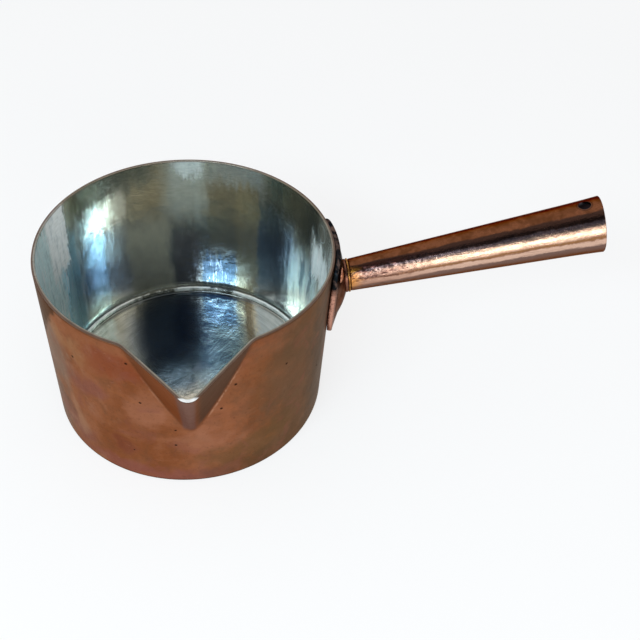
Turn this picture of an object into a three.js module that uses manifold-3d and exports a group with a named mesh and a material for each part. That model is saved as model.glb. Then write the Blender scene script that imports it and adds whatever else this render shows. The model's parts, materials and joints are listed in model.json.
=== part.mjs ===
// Copper pastry pan with a pouring spout, tinned inside, with a hollow copper handle.
//
// Millimetres, +Z up. The origin is the centre of the flat underside. The spout points
// along -Y and the handle along +X, so the pan pours to the side of the hand.
//
// The side wall is one sheet, lofted from plan outlines: a circle for most of the way
// round, opened into a V whose two flat faces start at a point low on the wall and widen
// towards the rim. The same outlines, moved inwards, make the tin lining.

import * as THREE from 'three';
import { mergeVertices } from 'three/addons/utils/BufferGeometryUtils.js';
import Module from 'manifold-3d';

const { clamp, degToRad, lerp } = THREE.MathUtils;

// Bowl
const rimDiameter = 160;
const baseDiameter = 155;
const panHeight = 103.5;
const wallThickness = 1.5;
const footRounding = 1.1;
const rimRounding = 0.35;

// Bottom, a disc whose edge is turned up inside the wall
const bottomThickness = 1.6;
const bottomBendRadius = 2.8;
const upstandHeight = 4.7;
const upstandThickness = 1.6;
const upstandRounding = 0.3;

// Brass seam in the groove between the wall's foot and the bottom's bend
const seamDepth = 1.3;
const seamEdge = 0.15;

// Tin lining, drawn thicker than the wiped film so that it is a solid
const tinThickness = 0.35;
const tinFloorCorner = 1.2;
const tinLedgeFillet = 0.3;
const tinLipInset = 0.2;

// Spout
const spoutHalfAngle = degToRad(23.8);
const spoutRootHalfAngle = degToRad(2.2);
const spoutReach = 33.8;
const spoutDepth = 59.6;
const noseHalfWidthTop = 4.4;
const noseHalfWidthRoot = 1.3;

// Handle tube, a hollow cone that widens towards its open end
const handleTilt = degToRad(12.9);
const handleBelowRim = 28.2;
const handleLength = 155.5;
const handleRootRadius = 9;
const handleEndRadius = 15.6;
const handleEndFlare = 0.3;
const handleEndFlareLength = 22;
const handleRootSlant = degToRad(5.6);
const handleEndSlant = degToRad(7.3);
const handleWall = 1.8;
const handleRootChamfer = 0.4;
const handleEndRounding = 0.6;
const hangingHoleDiameter = 7;
const hangingHoleFromEnd = 9.4;
const hangingHoleTurn = degToRad(4);

// Handle base, a trumpet that spreads into a plate curved to the wall
const neckLength = 9.6;
const neckStraight = 1.5;
const neckProud = 0.4;
const neckWall = 3.3;
const neckRounding = 0.3;
const spigotLength = 12;
const spigotWall = 1.6;
const spigotChamfer = 0.6;
const plateHalfWidth = 25.2;
const plateBelowRim = 1.5;
const plateBelowHandle = 27.8;
const plateEdgeThickness = 3;
const plateEdgeRounding = 1.1;
const plateBackRounding = 0.5;
const plateTopSquareness = 9;
const plateBottomSquareness = 2.8;
const trumpetSharpness = 1.35;
const trumpetTurn = 2.2;
const hollowDepth = 1.2;
const hollowSpread = 0.5;

// Brazing ring between the neck and the tube
const ringWidth = 1.1;
const ringProud = 0.15;
const ringRounding = 0.3;

// Rivets: two under the plate's upper corners and one below the neck
const rivetShankRadius = 2.5;
const rivetHeadRadius = 4.2;
const rivetHeadHeight = 1.9;
const rivetHeadEdge = 0.5;
const rivetHeadChamfer = 0.3;
const rivetSeatRaise = 0.4;
const rivetInnerRadius = 5.4;
const rivetInnerDepth = 1;
const rivetSideInset = 7.6;
const rivetTopInset = 8;
const rivetLowerShare = 0.54;

// Clearances: between sheets that lap, and round pieces that are cut or turned
const lapGap = 0.15;
const fitGap = 0.3;

// Facets
const bowlColumns = 48;
const faceColumns = 3;
const noseColumns = 4;
const columnsThatFollowSpout = degToRad(55);
const spoutRows = 6;
const bottomSegments = 48;
const bendSteps = 3;
const seamSteps = 2;
const plateColumns = 40;
const trumpetRows = 7;
const tubeSegments = 36;
const holeSegments = 20;
const rivetSegments = 14;
const domeSteps = 4;

// Values worked out from the sizes above
const rimRadius = rimDiameter / 2;
const baseRadius = baseDiameter / 2;
const spoutRootZ = panHeight - spoutDepth;
const copperTop = panHeight - tinThickness - lapGap;
const ledgeTop = upstandHeight + lapGap;
const spoutDirection = -Math.PI / 2;
const handleRootHeight = panHeight - handleBelowRim;
const plateTop = panHeight - plateBelowRim;
const neckRadius = handleRootRadius + neckProud;
const neckBoreRadius = neckRadius - neckWall;
const neckTop = neckLength - neckStraight;
const spigotRadius = handleRootRadius - handleWall - fitGap;
const spigotBoreRadius = spigotRadius - spigotWall;

const wasm = await Module();
wasm.setup();

// Colours taken by eye from the pan
function metal(color, roughness) {
  return new THREE.MeshStandardMaterial({ color, roughness, metalness: 1 });
}

// Outer radius of the round part of the wall at a height
function wallRadius(z) {
  return baseRadius + ((rimRadius - baseRadius) * z) / panHeight;
}

// How far the spout has opened at a height: 0 at its root and below, 1 at the rim
function spoutOpening(z) {
  return clamp((z - spoutRootZ) / spoutDepth, 0, 1);
}

// Half the angle between the spout's two creases at a height
function creaseAngle(z) {
  return lerp(spoutRootHalfAngle, spoutHalfAngle, spoutOpening(z));
}

// Half the spout's outline at a height, from the crease to the middle of the nose, as
// [across, outwards] points: a straight face, then an arc that both faces touch.
function spoutHalfOutline(z) {
  const opening = spoutOpening(z);
  const radius = wallRadius(z);
  const crease = [radius * Math.sin(creaseAngle(z)), radius * Math.cos(creaseAngle(z))];
  const apex = radius + spoutReach * opening;
  const slope = Math.atan2(apex - crease[1], crease[0]);
  const halfWidth = lerp(noseHalfWidthRoot, noseHalfWidthTop, opening);
  const touch = [halfWidth, apex - halfWidth * Math.tan(slope)];
  const noseRadius = halfWidth / Math.sin(slope);
  const noseCentre = touch[1] - noseRadius * Math.cos(slope);
  const points = [];
  for (let i = 0; i < faceColumns; i += 1) {
    const t = i / faceColumns;
    points.push([lerp(crease[0], touch[0], t), lerp(crease[1], touch[1], t)]);
  }
  for (let i = 0; i <= noseColumns; i += 1) {
    const turn = slope * (1 - i / noseColumns);
    points.push([noseRadius * Math.sin(turn), noseCentre + noseRadius * Math.cos(turn)]);
  }
  return points;
}

// The round part of the outline, as angles from the spout's middle. The columns next to
// the spout move with its crease, and the others stay where they are.
function bowlAngles(z) {
  const restAngle = (spoutRootHalfAngle + spoutHalfAngle) / 2;
  const angles = [];
  for (let i = 1; i < bowlColumns; i += 1) {
    const even = lerp(restAngle, 2 * Math.PI - restAngle, i / bowlColumns);
    const side = even <= Math.PI ? 1 : -1;
    const away = side > 0 ? even : 2 * Math.PI - even;
    const share = Math.max(0, 1 - (away - restAngle) / columnsThatFollowSpout);
    angles.push(even + side * (creaseAngle(z) - restAngle) * share);
  }
  return angles;
}

// The whole plan outline at a height, counter-clockwise, as Vector2 points
function wallOutline(z) {
  const half = spoutHalfOutline(z);
  const outwards = new THREE.Vector2(Math.cos(spoutDirection), Math.sin(spoutDirection));
  const across = new THREE.Vector2(-outwards.y, outwards.x);
  const place = (a, o) => outwards.clone().multiplyScalar(o).addScaledVector(across, a);
  const left = half.slice(0, -1).map(([a, o]) => place(-a, o));
  const right = half.slice().reverse().map(([a, o]) => place(a, o));
  const radius = wallRadius(z);
  const bowl = bowlAngles(z).map((angle) => {
    const turn = spoutDirection + angle;
    return new THREE.Vector2(radius * Math.cos(turn), radius * Math.sin(turn));
  });
  return [...left, ...right, ...bowl];
}

// An outline moved inwards by a distance, each corner along its bisector
function insetOutline(outline, distance) {
  const count = outline.length;
  return outline.map((point, i) => {
    const before = outline[(i + count - 1) % count];
    const after = outline[(i + 1) % count];
    const first = new THREE.Vector2(before.y - point.y, point.x - before.x).normalize();
    const second = new THREE.Vector2(point.y - after.y, after.x - point.x).normalize();
    const bisector = first.clone().add(second).normalize();
    const length = distance / bisector.dot(first);
    return point.clone().addScaledVector(bisector, length);
  });
}

// Radius of the largest circle inside the wall at a height, which its flat facets touch
function insideRadius(z) {
  const outline = insetOutline(wallOutline(z), wallThickness);
  const middles = outline.map((point, i) => {
    const next = outline[(i + 1) % outline.length];
    return point.clone().add(next).length() / 2;
  });
  return Math.min(...middles);
}

// The bottom fits inside the wall from its foot up to the top of its turned-up edge
const bottomRadius = Math.min(insideRadius(0), insideRadius(upstandHeight)) - lapGap;
const upstandInnerRadius = bottomRadius - upstandThickness;
const tinFloorRadius = upstandInnerRadius * Math.cos(Math.PI / bottomSegments) - lapGap;

// One ring of the wall: the outline at a height, inset, lifted into space
function wallRing(z, inset) {
  return insetOutline(wallOutline(z), inset).map((p) => new THREE.Vector3(p.x, p.y, z));
}

// One ring on the floor: the foot's directions at a smaller radius
function floorRing(z, radius) {
  return wallOutline(0).map((p) => {
    const scale = radius / p.length();
    return new THREE.Vector3(p.x * scale, p.y * scale, z);
  });
}

// A closed body from rings of equally many points. The rings either close on themselves
// in a loop, or end in a single point at both ends. Each patch is split along its shorter
// diagonal, so that sheets that lie on each other fold along the same lines.
function loft(rings, { closed = false, poles = null } = {}) {
  const count = rings[0].length;
  const positions = [];
  const index = [];
  rings.forEach((ring) => ring.forEach((p) => positions.push(p.x, p.y, p.z)));
  const at = (ring, i) => ring * count + (i % count);
  const point = (ring, i) => rings[ring][i % count];
  const last = closed ? rings.length : rings.length - 1;
  for (let ring = 0; ring < last; ring += 1) {
    const next = (ring + 1) % rings.length;
    for (let i = 0; i < count; i += 1) {
      const rising = point(ring, i).distanceTo(point(next, i + 1));
      const falling = point(ring, i + 1).distanceTo(point(next, i));
      if (rising < falling) {
        index.push(at(ring, i), at(ring, i + 1), at(next, i + 1));
        index.push(at(ring, i), at(next, i + 1), at(next, i));
      } else {
        index.push(at(ring, i), at(ring, i + 1), at(next, i));
        index.push(at(ring, i + 1), at(next, i + 1), at(next, i));
      }
    }
  }
  if (poles) {
    const first = positions.length / 3;
    poles.forEach((p) => positions.push(p.x, p.y, p.z));
    for (let i = 0; i < count; i += 1) {
      index.push(first, at(0, i + 1), at(0, i));
      index.push(first + 1, at(rings.length - 1, i), at(rings.length - 1, i + 1));
    }
  }
  const geometry = new THREE.BufferGeometry();
  geometry.setAttribute('position', new THREE.Float32BufferAttribute(positions, 3));
  geometry.setIndex(index);
  return geometry;
}

// A solid of revolution about +Z from [radius, height] points
function revolve(profile, segments) {
  const points = profile.map(([radius, height]) => new THREE.Vector2(radius, height));
  const geometry = new THREE.LatheGeometry(points, segments);
  geometry.rotateX(Math.PI / 2);
  return geometry;
}

// Between a BufferGeometry and a solid that can be cut
function toSolid(geometry) {
  const bare = geometry.clone();
  bare.deleteAttribute('normal');
  bare.deleteAttribute('uv');
  const merged = mergeVertices(bare, 1e-4);
  const mesh = new wasm.Mesh({
    numProp: 3,
    vertProperties: new Float32Array(merged.attributes.position.array),
    triVerts: new Uint32Array(merged.index.array),
  });
  return new wasm.Manifold(mesh);
}

function toGeometry(solid) {
  const mesh = solid.getMesh();
  const geometry = new THREE.BufferGeometry();
  geometry.setAttribute('position', new THREE.BufferAttribute(mesh.vertProperties, 3));
  geometry.setIndex(new THREE.BufferAttribute(mesh.triVerts, 1));
  return geometry;
}

function cut(geometry, cutters) {
  const solid = cutters.reduce((left, cutter) => left.subtract(toSolid(cutter)), toSolid(geometry));
  return toGeometry(solid);
}

// A quarter circle as [sine, cosine] pairs, from the upright to the level
function quarter(steps) {
  return Array.from({ length: steps + 1 }, (_, i) => {
    const turn = (i / steps) * (Math.PI / 2);
    return [Math.sin(turn), Math.cos(turn)];
  });
}

// Heights that the wall and its lining share, so that their facets run side by side:
// far apart below the spout's root, and closer together where its faces widen.
function sharedLevels() {
  const from = ledgeTop + tinThickness + tinLedgeFillet;
  const to = copperTop - rimRounding;
  const levels = [from, (from + spoutRootZ) / 2];
  for (let i = 0; i <= spoutRows; i += 1) {
    levels.push(lerp(spoutRootZ, to, i / spoutRows));
  }
  return levels;
}

// Where the handle's axis meets the wall, and the directions along and above it
const handleRoot = new THREE.Vector3(wallRadius(handleRootHeight), 0, handleRootHeight);
const handleAxis = new THREE.Vector3(Math.cos(handleTilt), 0, Math.sin(handleTilt));
const handleUp = new THREE.Vector3(-Math.sin(handleTilt), 0, Math.cos(handleTilt));

// A point over the wall: along round it from the handle's middle, at a height z, and out
// from the copper by a distance
function overWall(along, z, out) {
  const radius = wallRadius(z);
  const turn = along / radius;
  return new THREE.Vector3((radius + out) * Math.cos(turn), (radius + out) * Math.sin(turn), z);
}

// A point round the handle's axis, at a distance along it. The neck's end leans with the
// mitre where the tube meets it.
function roundHandle(along, radius, turn) {
  const rise = radius * Math.sin(turn);
  const lean = rise * Math.tan(handleRootSlant) * Math.min(1, along / neckLength);
  return handleRoot
    .clone()
    .addScaledVector(handleAxis, along + lean)
    .add(new THREE.Vector3(0, radius * Math.cos(turn), 0))
    .addScaledVector(handleUp, rise);
}

// The plate's edge, a rounded shield, as its distance from the handle's root in one
// direction round it
function plateReach(turn) {
  const up = Math.sin(turn) >= 0;
  const height = up ? plateTop - handleRootHeight : plateBelowHandle;
  const power = up ? plateTopSquareness : plateBottomSquareness;
  const across = Math.abs(Math.cos(turn)) / plateHalfWidth;
  const upright = Math.abs(Math.sin(turn)) / height;
  return (across ** power + upright ** power) ** (-1 / power);
}

// One ring of the handle base. spread is 0 on the round neck and 1 on the plate's edge,
// along is the height over the wall, bore is the radius that spread starts from, and
// onWall tells how far the ring lies along the wall instead of square to the handle.
function baseRing(spread, along, { bore = neckRadius, onWall = spread * trumpetTurn } = {}) {
  const ring = [];
  for (let i = 0; i < plateColumns; i += 1) {
    const turn = (-i / plateColumns) * 2 * Math.PI;
    const reach = lerp(bore, plateReach(turn), spread);
    const onNeck = roundHandle(along, reach, turn);
    const onPlate = overWall(reach * Math.cos(turn), handleRootHeight + reach * Math.sin(turn), along);
    ring.push(onNeck.lerp(onPlate, Math.min(1, onWall)));
  }
  return ring;
}

// The trumpet's height over the wall, from the neck's straight end to the plate's edge
function trumpetHeight(spread) {
  return plateEdgeThickness + (neckTop - plateEdgeThickness) * (1 - spread) ** trumpetSharpness;
}

// Where the rivets sit, as [along the wall, height]
const rivetPlaces = {
  rivet_upper_front: [-(plateHalfWidth - rivetSideInset), plateTop - rivetTopInset],
  rivet_upper_back: [plateHalfWidth - rivetSideInset, plateTop - rivetTopInset],
  rivet_lower: [0, handleRootHeight - lerp(neckRadius, plateBelowHandle, rivetLowerShare)],
};

// Heights along a rivet, with 0 on the copper's outer face: its end inside the wall, the
// wide end of its shank's taper there, the plate's seat and the underside of its head
const rivetEnd = -wallThickness + fitGap;
const rivetShoulder = Math.min(rivetEnd + rivetInnerDepth, -lapGap);
const rivetSeat = plateEdgeThickness + rivetSeatRaise;
const rivetHead = rivetSeat + fitGap;

function rivetProfile() {
  const edge = rivetHead + rivetHeadEdge;
  const dome = quarter(domeSteps).map(([rise, width]) => [
    rise < 1 ? rivetHeadRadius * width : 0,
    edge + (rivetHeadHeight - rivetHeadEdge) * rise,
  ]);
  return [
    [0, rivetEnd],
    [rivetInnerRadius, rivetEnd],
    [rivetShankRadius, rivetShoulder],
    [rivetShankRadius, rivetHead],
    [rivetHeadRadius - rivetHeadChamfer, rivetHead],
    ...dome,
  ];
}

// The hole that a rivet needs: through the wall, up the plate, and a flat seat that is
// cut into the trumpet for its head
function rivetHoleProfile() {
  const below = -wallThickness - fitGap;
  const above = rivetHead + rivetHeadHeight + neckLength;
  const shank = rivetShankRadius + fitGap;
  const countersink = rivetInnerRadius + fitGap;
  return [
    [0, below],
    [countersink, below],
    [countersink, rivetEnd],
    [shank, rivetShoulder + fitGap],
    [shank, rivetSeat],
    [rivetHeadRadius + fitGap, rivetSeat],
    [rivetHeadRadius + fitGap, above],
    [0, above],
  ];
}

// Turns a body made about +Z so that it stands on the wall at a rivet's place
function standOnWall(geometry, [along, z]) {
  geometry.rotateY(Math.PI / 2);
  geometry.translate(wallRadius(z), 0, z);
  geometry.rotateZ(along / wallRadius(z));
  return geometry;
}

function rivetHoles() {
  return Object.values(rivetPlaces).map((place) =>
    standOnWall(revolve(rivetHoleProfile(), rivetSegments), place));
}

// The copper side wall with its spout, open at both ends, drilled for the rivets
function panWall() {
  const foot = Math.min(footRounding, wallThickness * 0.75);
  const outer = [foot, ...sharedLevels()];
  const inner = outer.slice().reverse();
  const rings = [
    wallRing(0, foot),
    ...outer.map((z) => wallRing(z, 0)),
    wallRing(copperTop, rimRounding),
    wallRing(copperTop, wallThickness - rimRounding),
    ...inner.map((z) => wallRing(z, wallThickness)),
    wallRing(0, wallThickness),
  ];
  return cut(loft(rings, { closed: true }), rivetHoles());
}

// The bottom: a flat disc whose edge turns up inside the wall
function panBottom() {
  const outerBend = quarter(bendSteps).map(([sine, cosine]) => [
    bottomRadius - bottomBendRadius + bottomBendRadius * sine,
    bottomBendRadius - bottomBendRadius * cosine,
  ]);
  const innerBendRadius = Math.max(upstandRounding, bottomBendRadius - bottomThickness);
  const innerBend = quarter(bendSteps).reverse().map(([sine, cosine]) => [
    upstandInnerRadius - innerBendRadius + innerBendRadius * sine,
    bottomThickness + innerBendRadius - innerBendRadius * cosine,
  ]);
  const profile = [
    [0, 0],
    ...outerBend,
    [bottomRadius, upstandHeight - upstandRounding],
    [bottomRadius - upstandRounding, upstandHeight],
    [upstandInnerRadius + upstandRounding, upstandHeight],
    [upstandInnerRadius, upstandHeight - upstandRounding],
    ...innerBend,
    [0, bottomThickness],
  ];
  return revolve(profile, bottomSegments);
}

// The brass in the groove under the bend: level with the underside, as deep as seamDepth
// next to the wall, and running out to a thin edge where the groove closes
function bottomSeamRing() {
  const bendCentre = bottomRadius - bottomBendRadius;
  const deepest = Math.min(seamDepth, bottomBendRadius - fitGap);
  const groove = [];
  for (let i = 0; i <= seamSteps; i += 1) {
    const depth = lerp(deepest, seamEdge, i / seamSteps);
    const below = bottomBendRadius - depth - fitGap;
    groove.push([bendCentre + Math.sqrt(bottomBendRadius ** 2 - below ** 2), depth]);
  }
  const thinRadius = groove[seamSteps][0];
  const profile = [
    [thinRadius, 0],
    [bottomRadius, 0],
    [bottomRadius, deepest],
    ...groove,
    [thinRadius, 0],
  ];
  return revolve(profile, bottomSegments);
}

// The tin: over the rim, down the wall, over the upstand's edge and across the floor
function tinLining() {
  const back = wallThickness + lapGap;
  const front = back + tinThickness;
  const rounding = tinThickness * 0.85;
  const lipRounding = tinThickness * 0.5;
  const floorBack = bottomThickness + lapGap;
  const floorFront = floorBack + tinThickness;
  const ledgeFront = ledgeTop + tinThickness;
  const innerRadius = tinFloorRadius - tinThickness;
  const levels = sharedLevels();
  const down = levels.slice().reverse();
  const rings = [
    floorRing(floorBack, tinFloorRadius - tinFloorCorner),
    floorRing(floorBack + tinFloorCorner, tinFloorRadius),
    floorRing(ledgeTop, tinFloorRadius),
    wallRing(ledgeTop, back),
    ...levels.map((z) => wallRing(z, back)),
    wallRing(copperTop + lapGap, back),
    wallRing(copperTop + lapGap, tinLipInset),
    wallRing(panHeight - lipRounding, tinLipInset),
    wallRing(panHeight, tinLipInset + lipRounding),
    wallRing(panHeight, front - rounding),
    wallRing(panHeight - rounding, front),
    ...down.map((z) => wallRing(z, front)),
    wallRing(ledgeFront, front + tinLedgeFillet),
    floorRing(ledgeFront, innerRadius + rounding),
    floorRing(ledgeFront - rounding, innerRadius),
    floorRing(floorFront + tinFloorCorner, innerRadius),
    floorRing(floorFront, innerRadius - tinFloorCorner),
  ];
  const poles = [new THREE.Vector3(0, 0, floorBack), new THREE.Vector3(0, 0, floorFront)];
  return loft(rings, { poles });
}

// The handle base: spigot, shoulder, neck, trumpet and plate in one piece
function handleFlange() {
  const neckRing = (along, radius) => baseRing(0, along, { bore: radius });
  const backRing = (spread, along, bore) => baseRing(spread, along, { bore, onWall: 1 });
  const spigotEnd = neckLength + spigotLength;
  const rimSpread = 0.95;
  const trumpet = [];
  for (let i = 1; i <= trumpetRows; i += 1) {
    const spread = rimSpread * (i / trumpetRows) ** 1.5;
    trumpet.push(baseRing(spread, trumpetHeight(spread)));
  }
  const rings = [
    neckRing(spigotEnd, spigotBoreRadius),
    neckRing(spigotEnd, spigotRadius - spigotChamfer),
    neckRing(spigotEnd - spigotChamfer, spigotRadius),
    neckRing(neckLength, spigotRadius),
    neckRing(neckLength, neckRadius - neckRounding),
    neckRing(neckLength - neckRounding, neckRadius),
    neckRing(neckTop, neckRadius),
    ...trumpet,
    baseRing(1, plateEdgeThickness - plateEdgeRounding),
    baseRing(1, fitGap + plateBackRounding),
    backRing(1 - plateBackRounding / plateHalfWidth, fitGap, neckRadius),
    backRing(hollowSpread, fitGap, neckRadius),
    backRing(0.1, fitGap + hollowDepth, neckBoreRadius),
    neckRing(neckLength / 2, neckBoreRadius),
    neckRing(neckLength, spigotBoreRadius),
  ];
  return cut(loft(rings, { closed: true }), rivetHoles());
}

// Radius of the handle's outside at a distance from the wall
function handleRadius(along) {
  const t = (along - neckLength) / (handleLength - neckLength);
  const bell = Math.max(0, 1 - (handleLength - along) / handleEndFlareLength);
  return lerp(handleRootRadius, handleEndRadius, t) + handleEndFlare * bell ** 2;
}

// Leans the sections of a body made about +Z, so that its root is mitred to the neck and
// its open end is cut a little out of square, longest at the back. Up is -X here, and the
// back is +Y.
function leanSections(geometry) {
  const position = geometry.attributes.position;
  for (let i = 0; i < position.count; i += 1) {
    const t = clamp((position.getZ(i) - neckLength) / (handleLength - neckLength), 0, 1);
    const rootLean = -position.getX(i) * Math.tan(handleRootSlant) * (1 - t);
    const endLean = position.getY(i) * Math.tan(handleEndSlant) * t;
    position.setZ(i, position.getZ(i) + rootLean + endLean);
  }
  return geometry;
}

// The handle tube about +Z, with the hanging hole through both of its walls
function handleTube() {
  const start = neckLength + ringWidth + fitGap * 2;
  const startRadius = handleRadius(start);
  const endRadius = handleRadius(handleLength);
  const endRounding = Math.min(handleEndRounding, handleWall / 3);
  const alongs = [
    start + handleRootChamfer,
    handleLength - handleEndFlareLength,
    handleLength - handleEndFlareLength / 2,
    handleLength - endRounding,
  ];
  const outer = alongs.map((along) => [handleRadius(along), along]);
  const inner = outer.map(([radius, along]) => [radius - handleWall, along]).reverse();
  const profile = [
    [startRadius - handleRootChamfer, start],
    ...outer,
    [endRadius - endRounding, handleLength],
    [endRadius - handleWall + endRounding, handleLength],
    ...inner,
    [startRadius - handleWall, start],
    [startRadius - handleRootChamfer, start],
  ];
  const holeRadius = hangingHoleDiameter / 2;
  const hole = new THREE.CylinderGeometry(holeRadius, holeRadius, endRadius * 3, holeSegments);
  hole.rotateZ(Math.PI / 2 - hangingHoleTurn);
  hole.translate(0, 0, handleLength - hangingHoleFromEnd);
  return cut(leanSections(revolve(profile, tubeSegments)), [hole]);
}

// The brazing ring round the spigot, between the neck's shoulder and the tube's end
function jointRing() {
  const inner = spigotRadius + fitGap;
  const outer = neckRadius + ringProud;
  const low = neckLength + fitGap;
  const high = low + ringWidth;
  const profile = [
    [inner, low],
    [outer - ringRounding, low],
    [outer, low + ringRounding],
    [outer, high - ringRounding],
    [outer - ringRounding, high],
    [inner, high],
    [inner, low],
  ];
  return leanSections(revolve(profile, tubeSegments));
}

function piece(name, geometry, material) {
  const mesh = new THREE.Mesh(geometry, material);
  mesh.name = name;
  return mesh;
}

const pan = new THREE.Group();
pan.add(piece('pan_wall', panWall(), metal(0x9c5a38, 0.36)));
pan.add(piece('pan_bottom', panBottom(), metal(0x8a5038, 0.42)));
pan.add(piece('bottom_seam_ring', bottomSeamRing(), metal(0xb08a4a, 0.4)));
pan.add(piece('tin_lining', tinLining(), metal(0xa9adab, 0.3)));
pan.add(piece('handle_flange', handleFlange(), metal(0xa8623f, 0.28)));

// What lies along the handle's axis is made about +Z, in a group turned onto that axis.
const alongHandle = new THREE.Group();
alongHandle.position.copy(handleRoot);
alongHandle.rotation.y = Math.PI / 2 - handleTilt;
alongHandle.add(piece('handle_joint_ring', jointRing(), metal(0xb08a4a, 0.4)));
alongHandle.add(piece('handle_tube', handleTube(), metal(0xa8623f, 0.28)));
pan.add(alongHandle);

Object.entries(rivetPlaces).forEach(([name, place]) => {
  const geometry = standOnWall(revolve(rivetProfile(), rivetSegments), place);
  pan.add(piece(name, geometry, metal(0xa06048, 0.34)));
});

export default pan;
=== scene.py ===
# %% [markdown]
# # A copper pastry pan, dressed in Blender
# The imported model gives the pan's exact shape as plain solids, and it stays as it is. This
# notebook makes each piece again with a fine, smooth surface from the same sizes, and gives
# every metal its own worn finish, with some light and shade painted into its colour. Lengths
# are in millimetres until a mesh is made. The pan stands on z = 0 with its axis on z, its
# spout points to -Y and its handle to +X.

import json
import math
from functools import reduce

import bmesh
import bpy
import numpy as np
from mathutils import Matrix, Vector

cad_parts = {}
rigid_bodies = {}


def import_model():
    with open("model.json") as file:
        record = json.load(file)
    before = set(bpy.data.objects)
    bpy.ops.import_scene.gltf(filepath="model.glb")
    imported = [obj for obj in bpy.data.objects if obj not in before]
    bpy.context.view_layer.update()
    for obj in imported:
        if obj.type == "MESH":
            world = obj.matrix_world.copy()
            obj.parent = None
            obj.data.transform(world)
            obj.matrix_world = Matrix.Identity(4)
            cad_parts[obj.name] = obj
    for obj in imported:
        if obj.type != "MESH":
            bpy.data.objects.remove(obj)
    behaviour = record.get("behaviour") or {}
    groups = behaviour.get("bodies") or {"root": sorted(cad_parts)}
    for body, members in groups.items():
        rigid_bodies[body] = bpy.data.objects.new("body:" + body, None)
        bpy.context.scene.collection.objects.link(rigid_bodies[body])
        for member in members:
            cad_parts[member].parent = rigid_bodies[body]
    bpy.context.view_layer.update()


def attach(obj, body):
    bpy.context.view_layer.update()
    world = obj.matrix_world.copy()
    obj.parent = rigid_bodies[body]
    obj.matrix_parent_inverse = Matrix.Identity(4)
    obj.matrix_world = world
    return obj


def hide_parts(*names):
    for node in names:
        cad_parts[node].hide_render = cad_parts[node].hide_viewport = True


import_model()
scene = bpy.context.scene

# %% [markdown]
# ## The camera
# The photograph looks down into the pan from in front. The rim's ellipse, the spout and the
# handle fix where the lens was, so the camera stands there, with the same small roll and a
# lens shift for the picture's own axis. Depth of field stays off: all of the metal is sharp.

# %% Camera
IMAGE_SIDE = 640
AXIS_ABOVE_MIDDLE = 40
EYE = Vector((0.00853, -0.37066, 0.40878))
AROUND, ABOVE, ROLL = (math.radians(angle) for angle in (-10.0, 41.6129, 4.7597))


def place(name, data):
    """A new thing in the scene: a piece, a lamp or the camera."""
    thing = bpy.data.objects.new(name, data)
    scene.collection.objects.link(thing)
    return thing


flat = math.cos(ABOVE)
backwards = Vector((math.sin(AROUND) * flat, -math.cos(AROUND) * flat, math.sin(ABOVE)))
level = Vector((math.cos(AROUND), math.sin(AROUND), 0))
upwards = backwards.cross(level)
across = level * math.cos(ROLL) + upwards * math.sin(ROLL)
upright = upwards * math.cos(ROLL) - level * math.sin(ROLL)

camera = place("camera", bpy.data.cameras.new("camera"))
camera.data.lens, camera.data.sensor_width = 50.0, 36.0
camera.data.shift_y = -AXIS_ABOVE_MIDDLE / IMAGE_SIDE
camera.matrix_world = Matrix((across, upright, backwards)).transposed().to_4x4()
camera.location = EYE
scene.camera = camera
scene.view_settings.view_transform = "Standard"
print("the lens is", round(EYE.length * 1000), "mm from the middle of the pan's foot")

# %% [markdown]
# ## Sums that draw nodes
# A finish is worked out by shader nodes, and a long chain of them is hard to read. Here a
# Wire holds the socket that a value comes from, and ordinary sums on it add the Math nodes,
# so `1 - shine * 0.4` is three words instead of two boxes and three links. A Bench is a node
# tree being filled, and its one method makes any other node.

# %% Wire and Bench


class Wire:
    """A value on its way through a node tree. Sums with it add Math nodes."""

    def __init__(self, bench, socket):
        self.bench, self.socket = bench, socket

    def math(self, operation, *terms):
        return self.bench.node("Math", {"operation": operation}, dict(enumerate(terms)))

    def __add__(self, other):
        return self.math("ADD", self, other)

    def __sub__(self, other):
        return self.math("SUBTRACT", self, other)

    def __rsub__(self, other):
        return self.math("SUBTRACT", other, self)

    def __mul__(self, other):
        return self.math("MULTIPLY", self, other)

    def at_least(self, other):
        return self.math("MAXIMUM", self, other)

    __radd__, __rmul__ = __add__, __mul__


class Bench:
    """A node tree: of a material, or of the world."""

    def __init__(self, owner):
        owner.use_nodes = True
        self.owner, self.tree = owner, owner.node_tree
        self.tree.nodes.clear()

    def node(self, kind, settings=None, inputs=None, output=0):
        made = self.tree.nodes.new("ShaderNode" + kind)
        for name, value in (settings or {}).items():
            setattr(made, name, value)
        for name, value in (inputs or {}).items():
            if isinstance(value, Wire):
                self.tree.links.new(value.socket, made.inputs[name])
            else:
                made.inputs[name].default_value = value
        return Wire(self, made.outputs[output]) if made.outputs else None


def step(value, low, high):
    """0 at low, 1 at high, and a smooth slope between them. Low may be the larger one."""
    look = {"Value": value, "From Min": low, "From Max": high}
    return value.bench.node("MapRange", {"interpolation_type": "SMOOTHSTEP"}, look)


def blend(factor, first, second, how="MIX"):
    """Mixes two colours, the second one over the first."""
    settings = {"data_type": "RGBA", "blend_type": how}
    return factor.bench.node("Mix", settings, {0: factor, 6: first, 7: second}, output=2)


def bench_of(terms):
    """The bench of the first wire among wires and plain numbers."""
    return next(term.bench for term in terms if isinstance(term, Wire))


def vector(operation, *terms, output=0):
    """Vector Math between wires and plain triples."""
    inputs = dict(enumerate(terms))
    return bench_of(terms).node("VectorMath", {"operation": operation}, inputs, output)


def length(wire):
    return vector("LENGTH", wire, output=1)


def tone(red, green, blue):
    """A colour as a screen shows it, from 0 to 255, turned into light."""
    parts = [channel / 255 for channel in (red, green, blue)]
    return (*(c / 12.92 if c <= 0.04045 else ((c + 0.055) / 1.055) ** 2.4 for c in parts), 1.0)


print("a mid brown as light:", [round(c, 3) for c in tone(150, 88, 52)])

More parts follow.
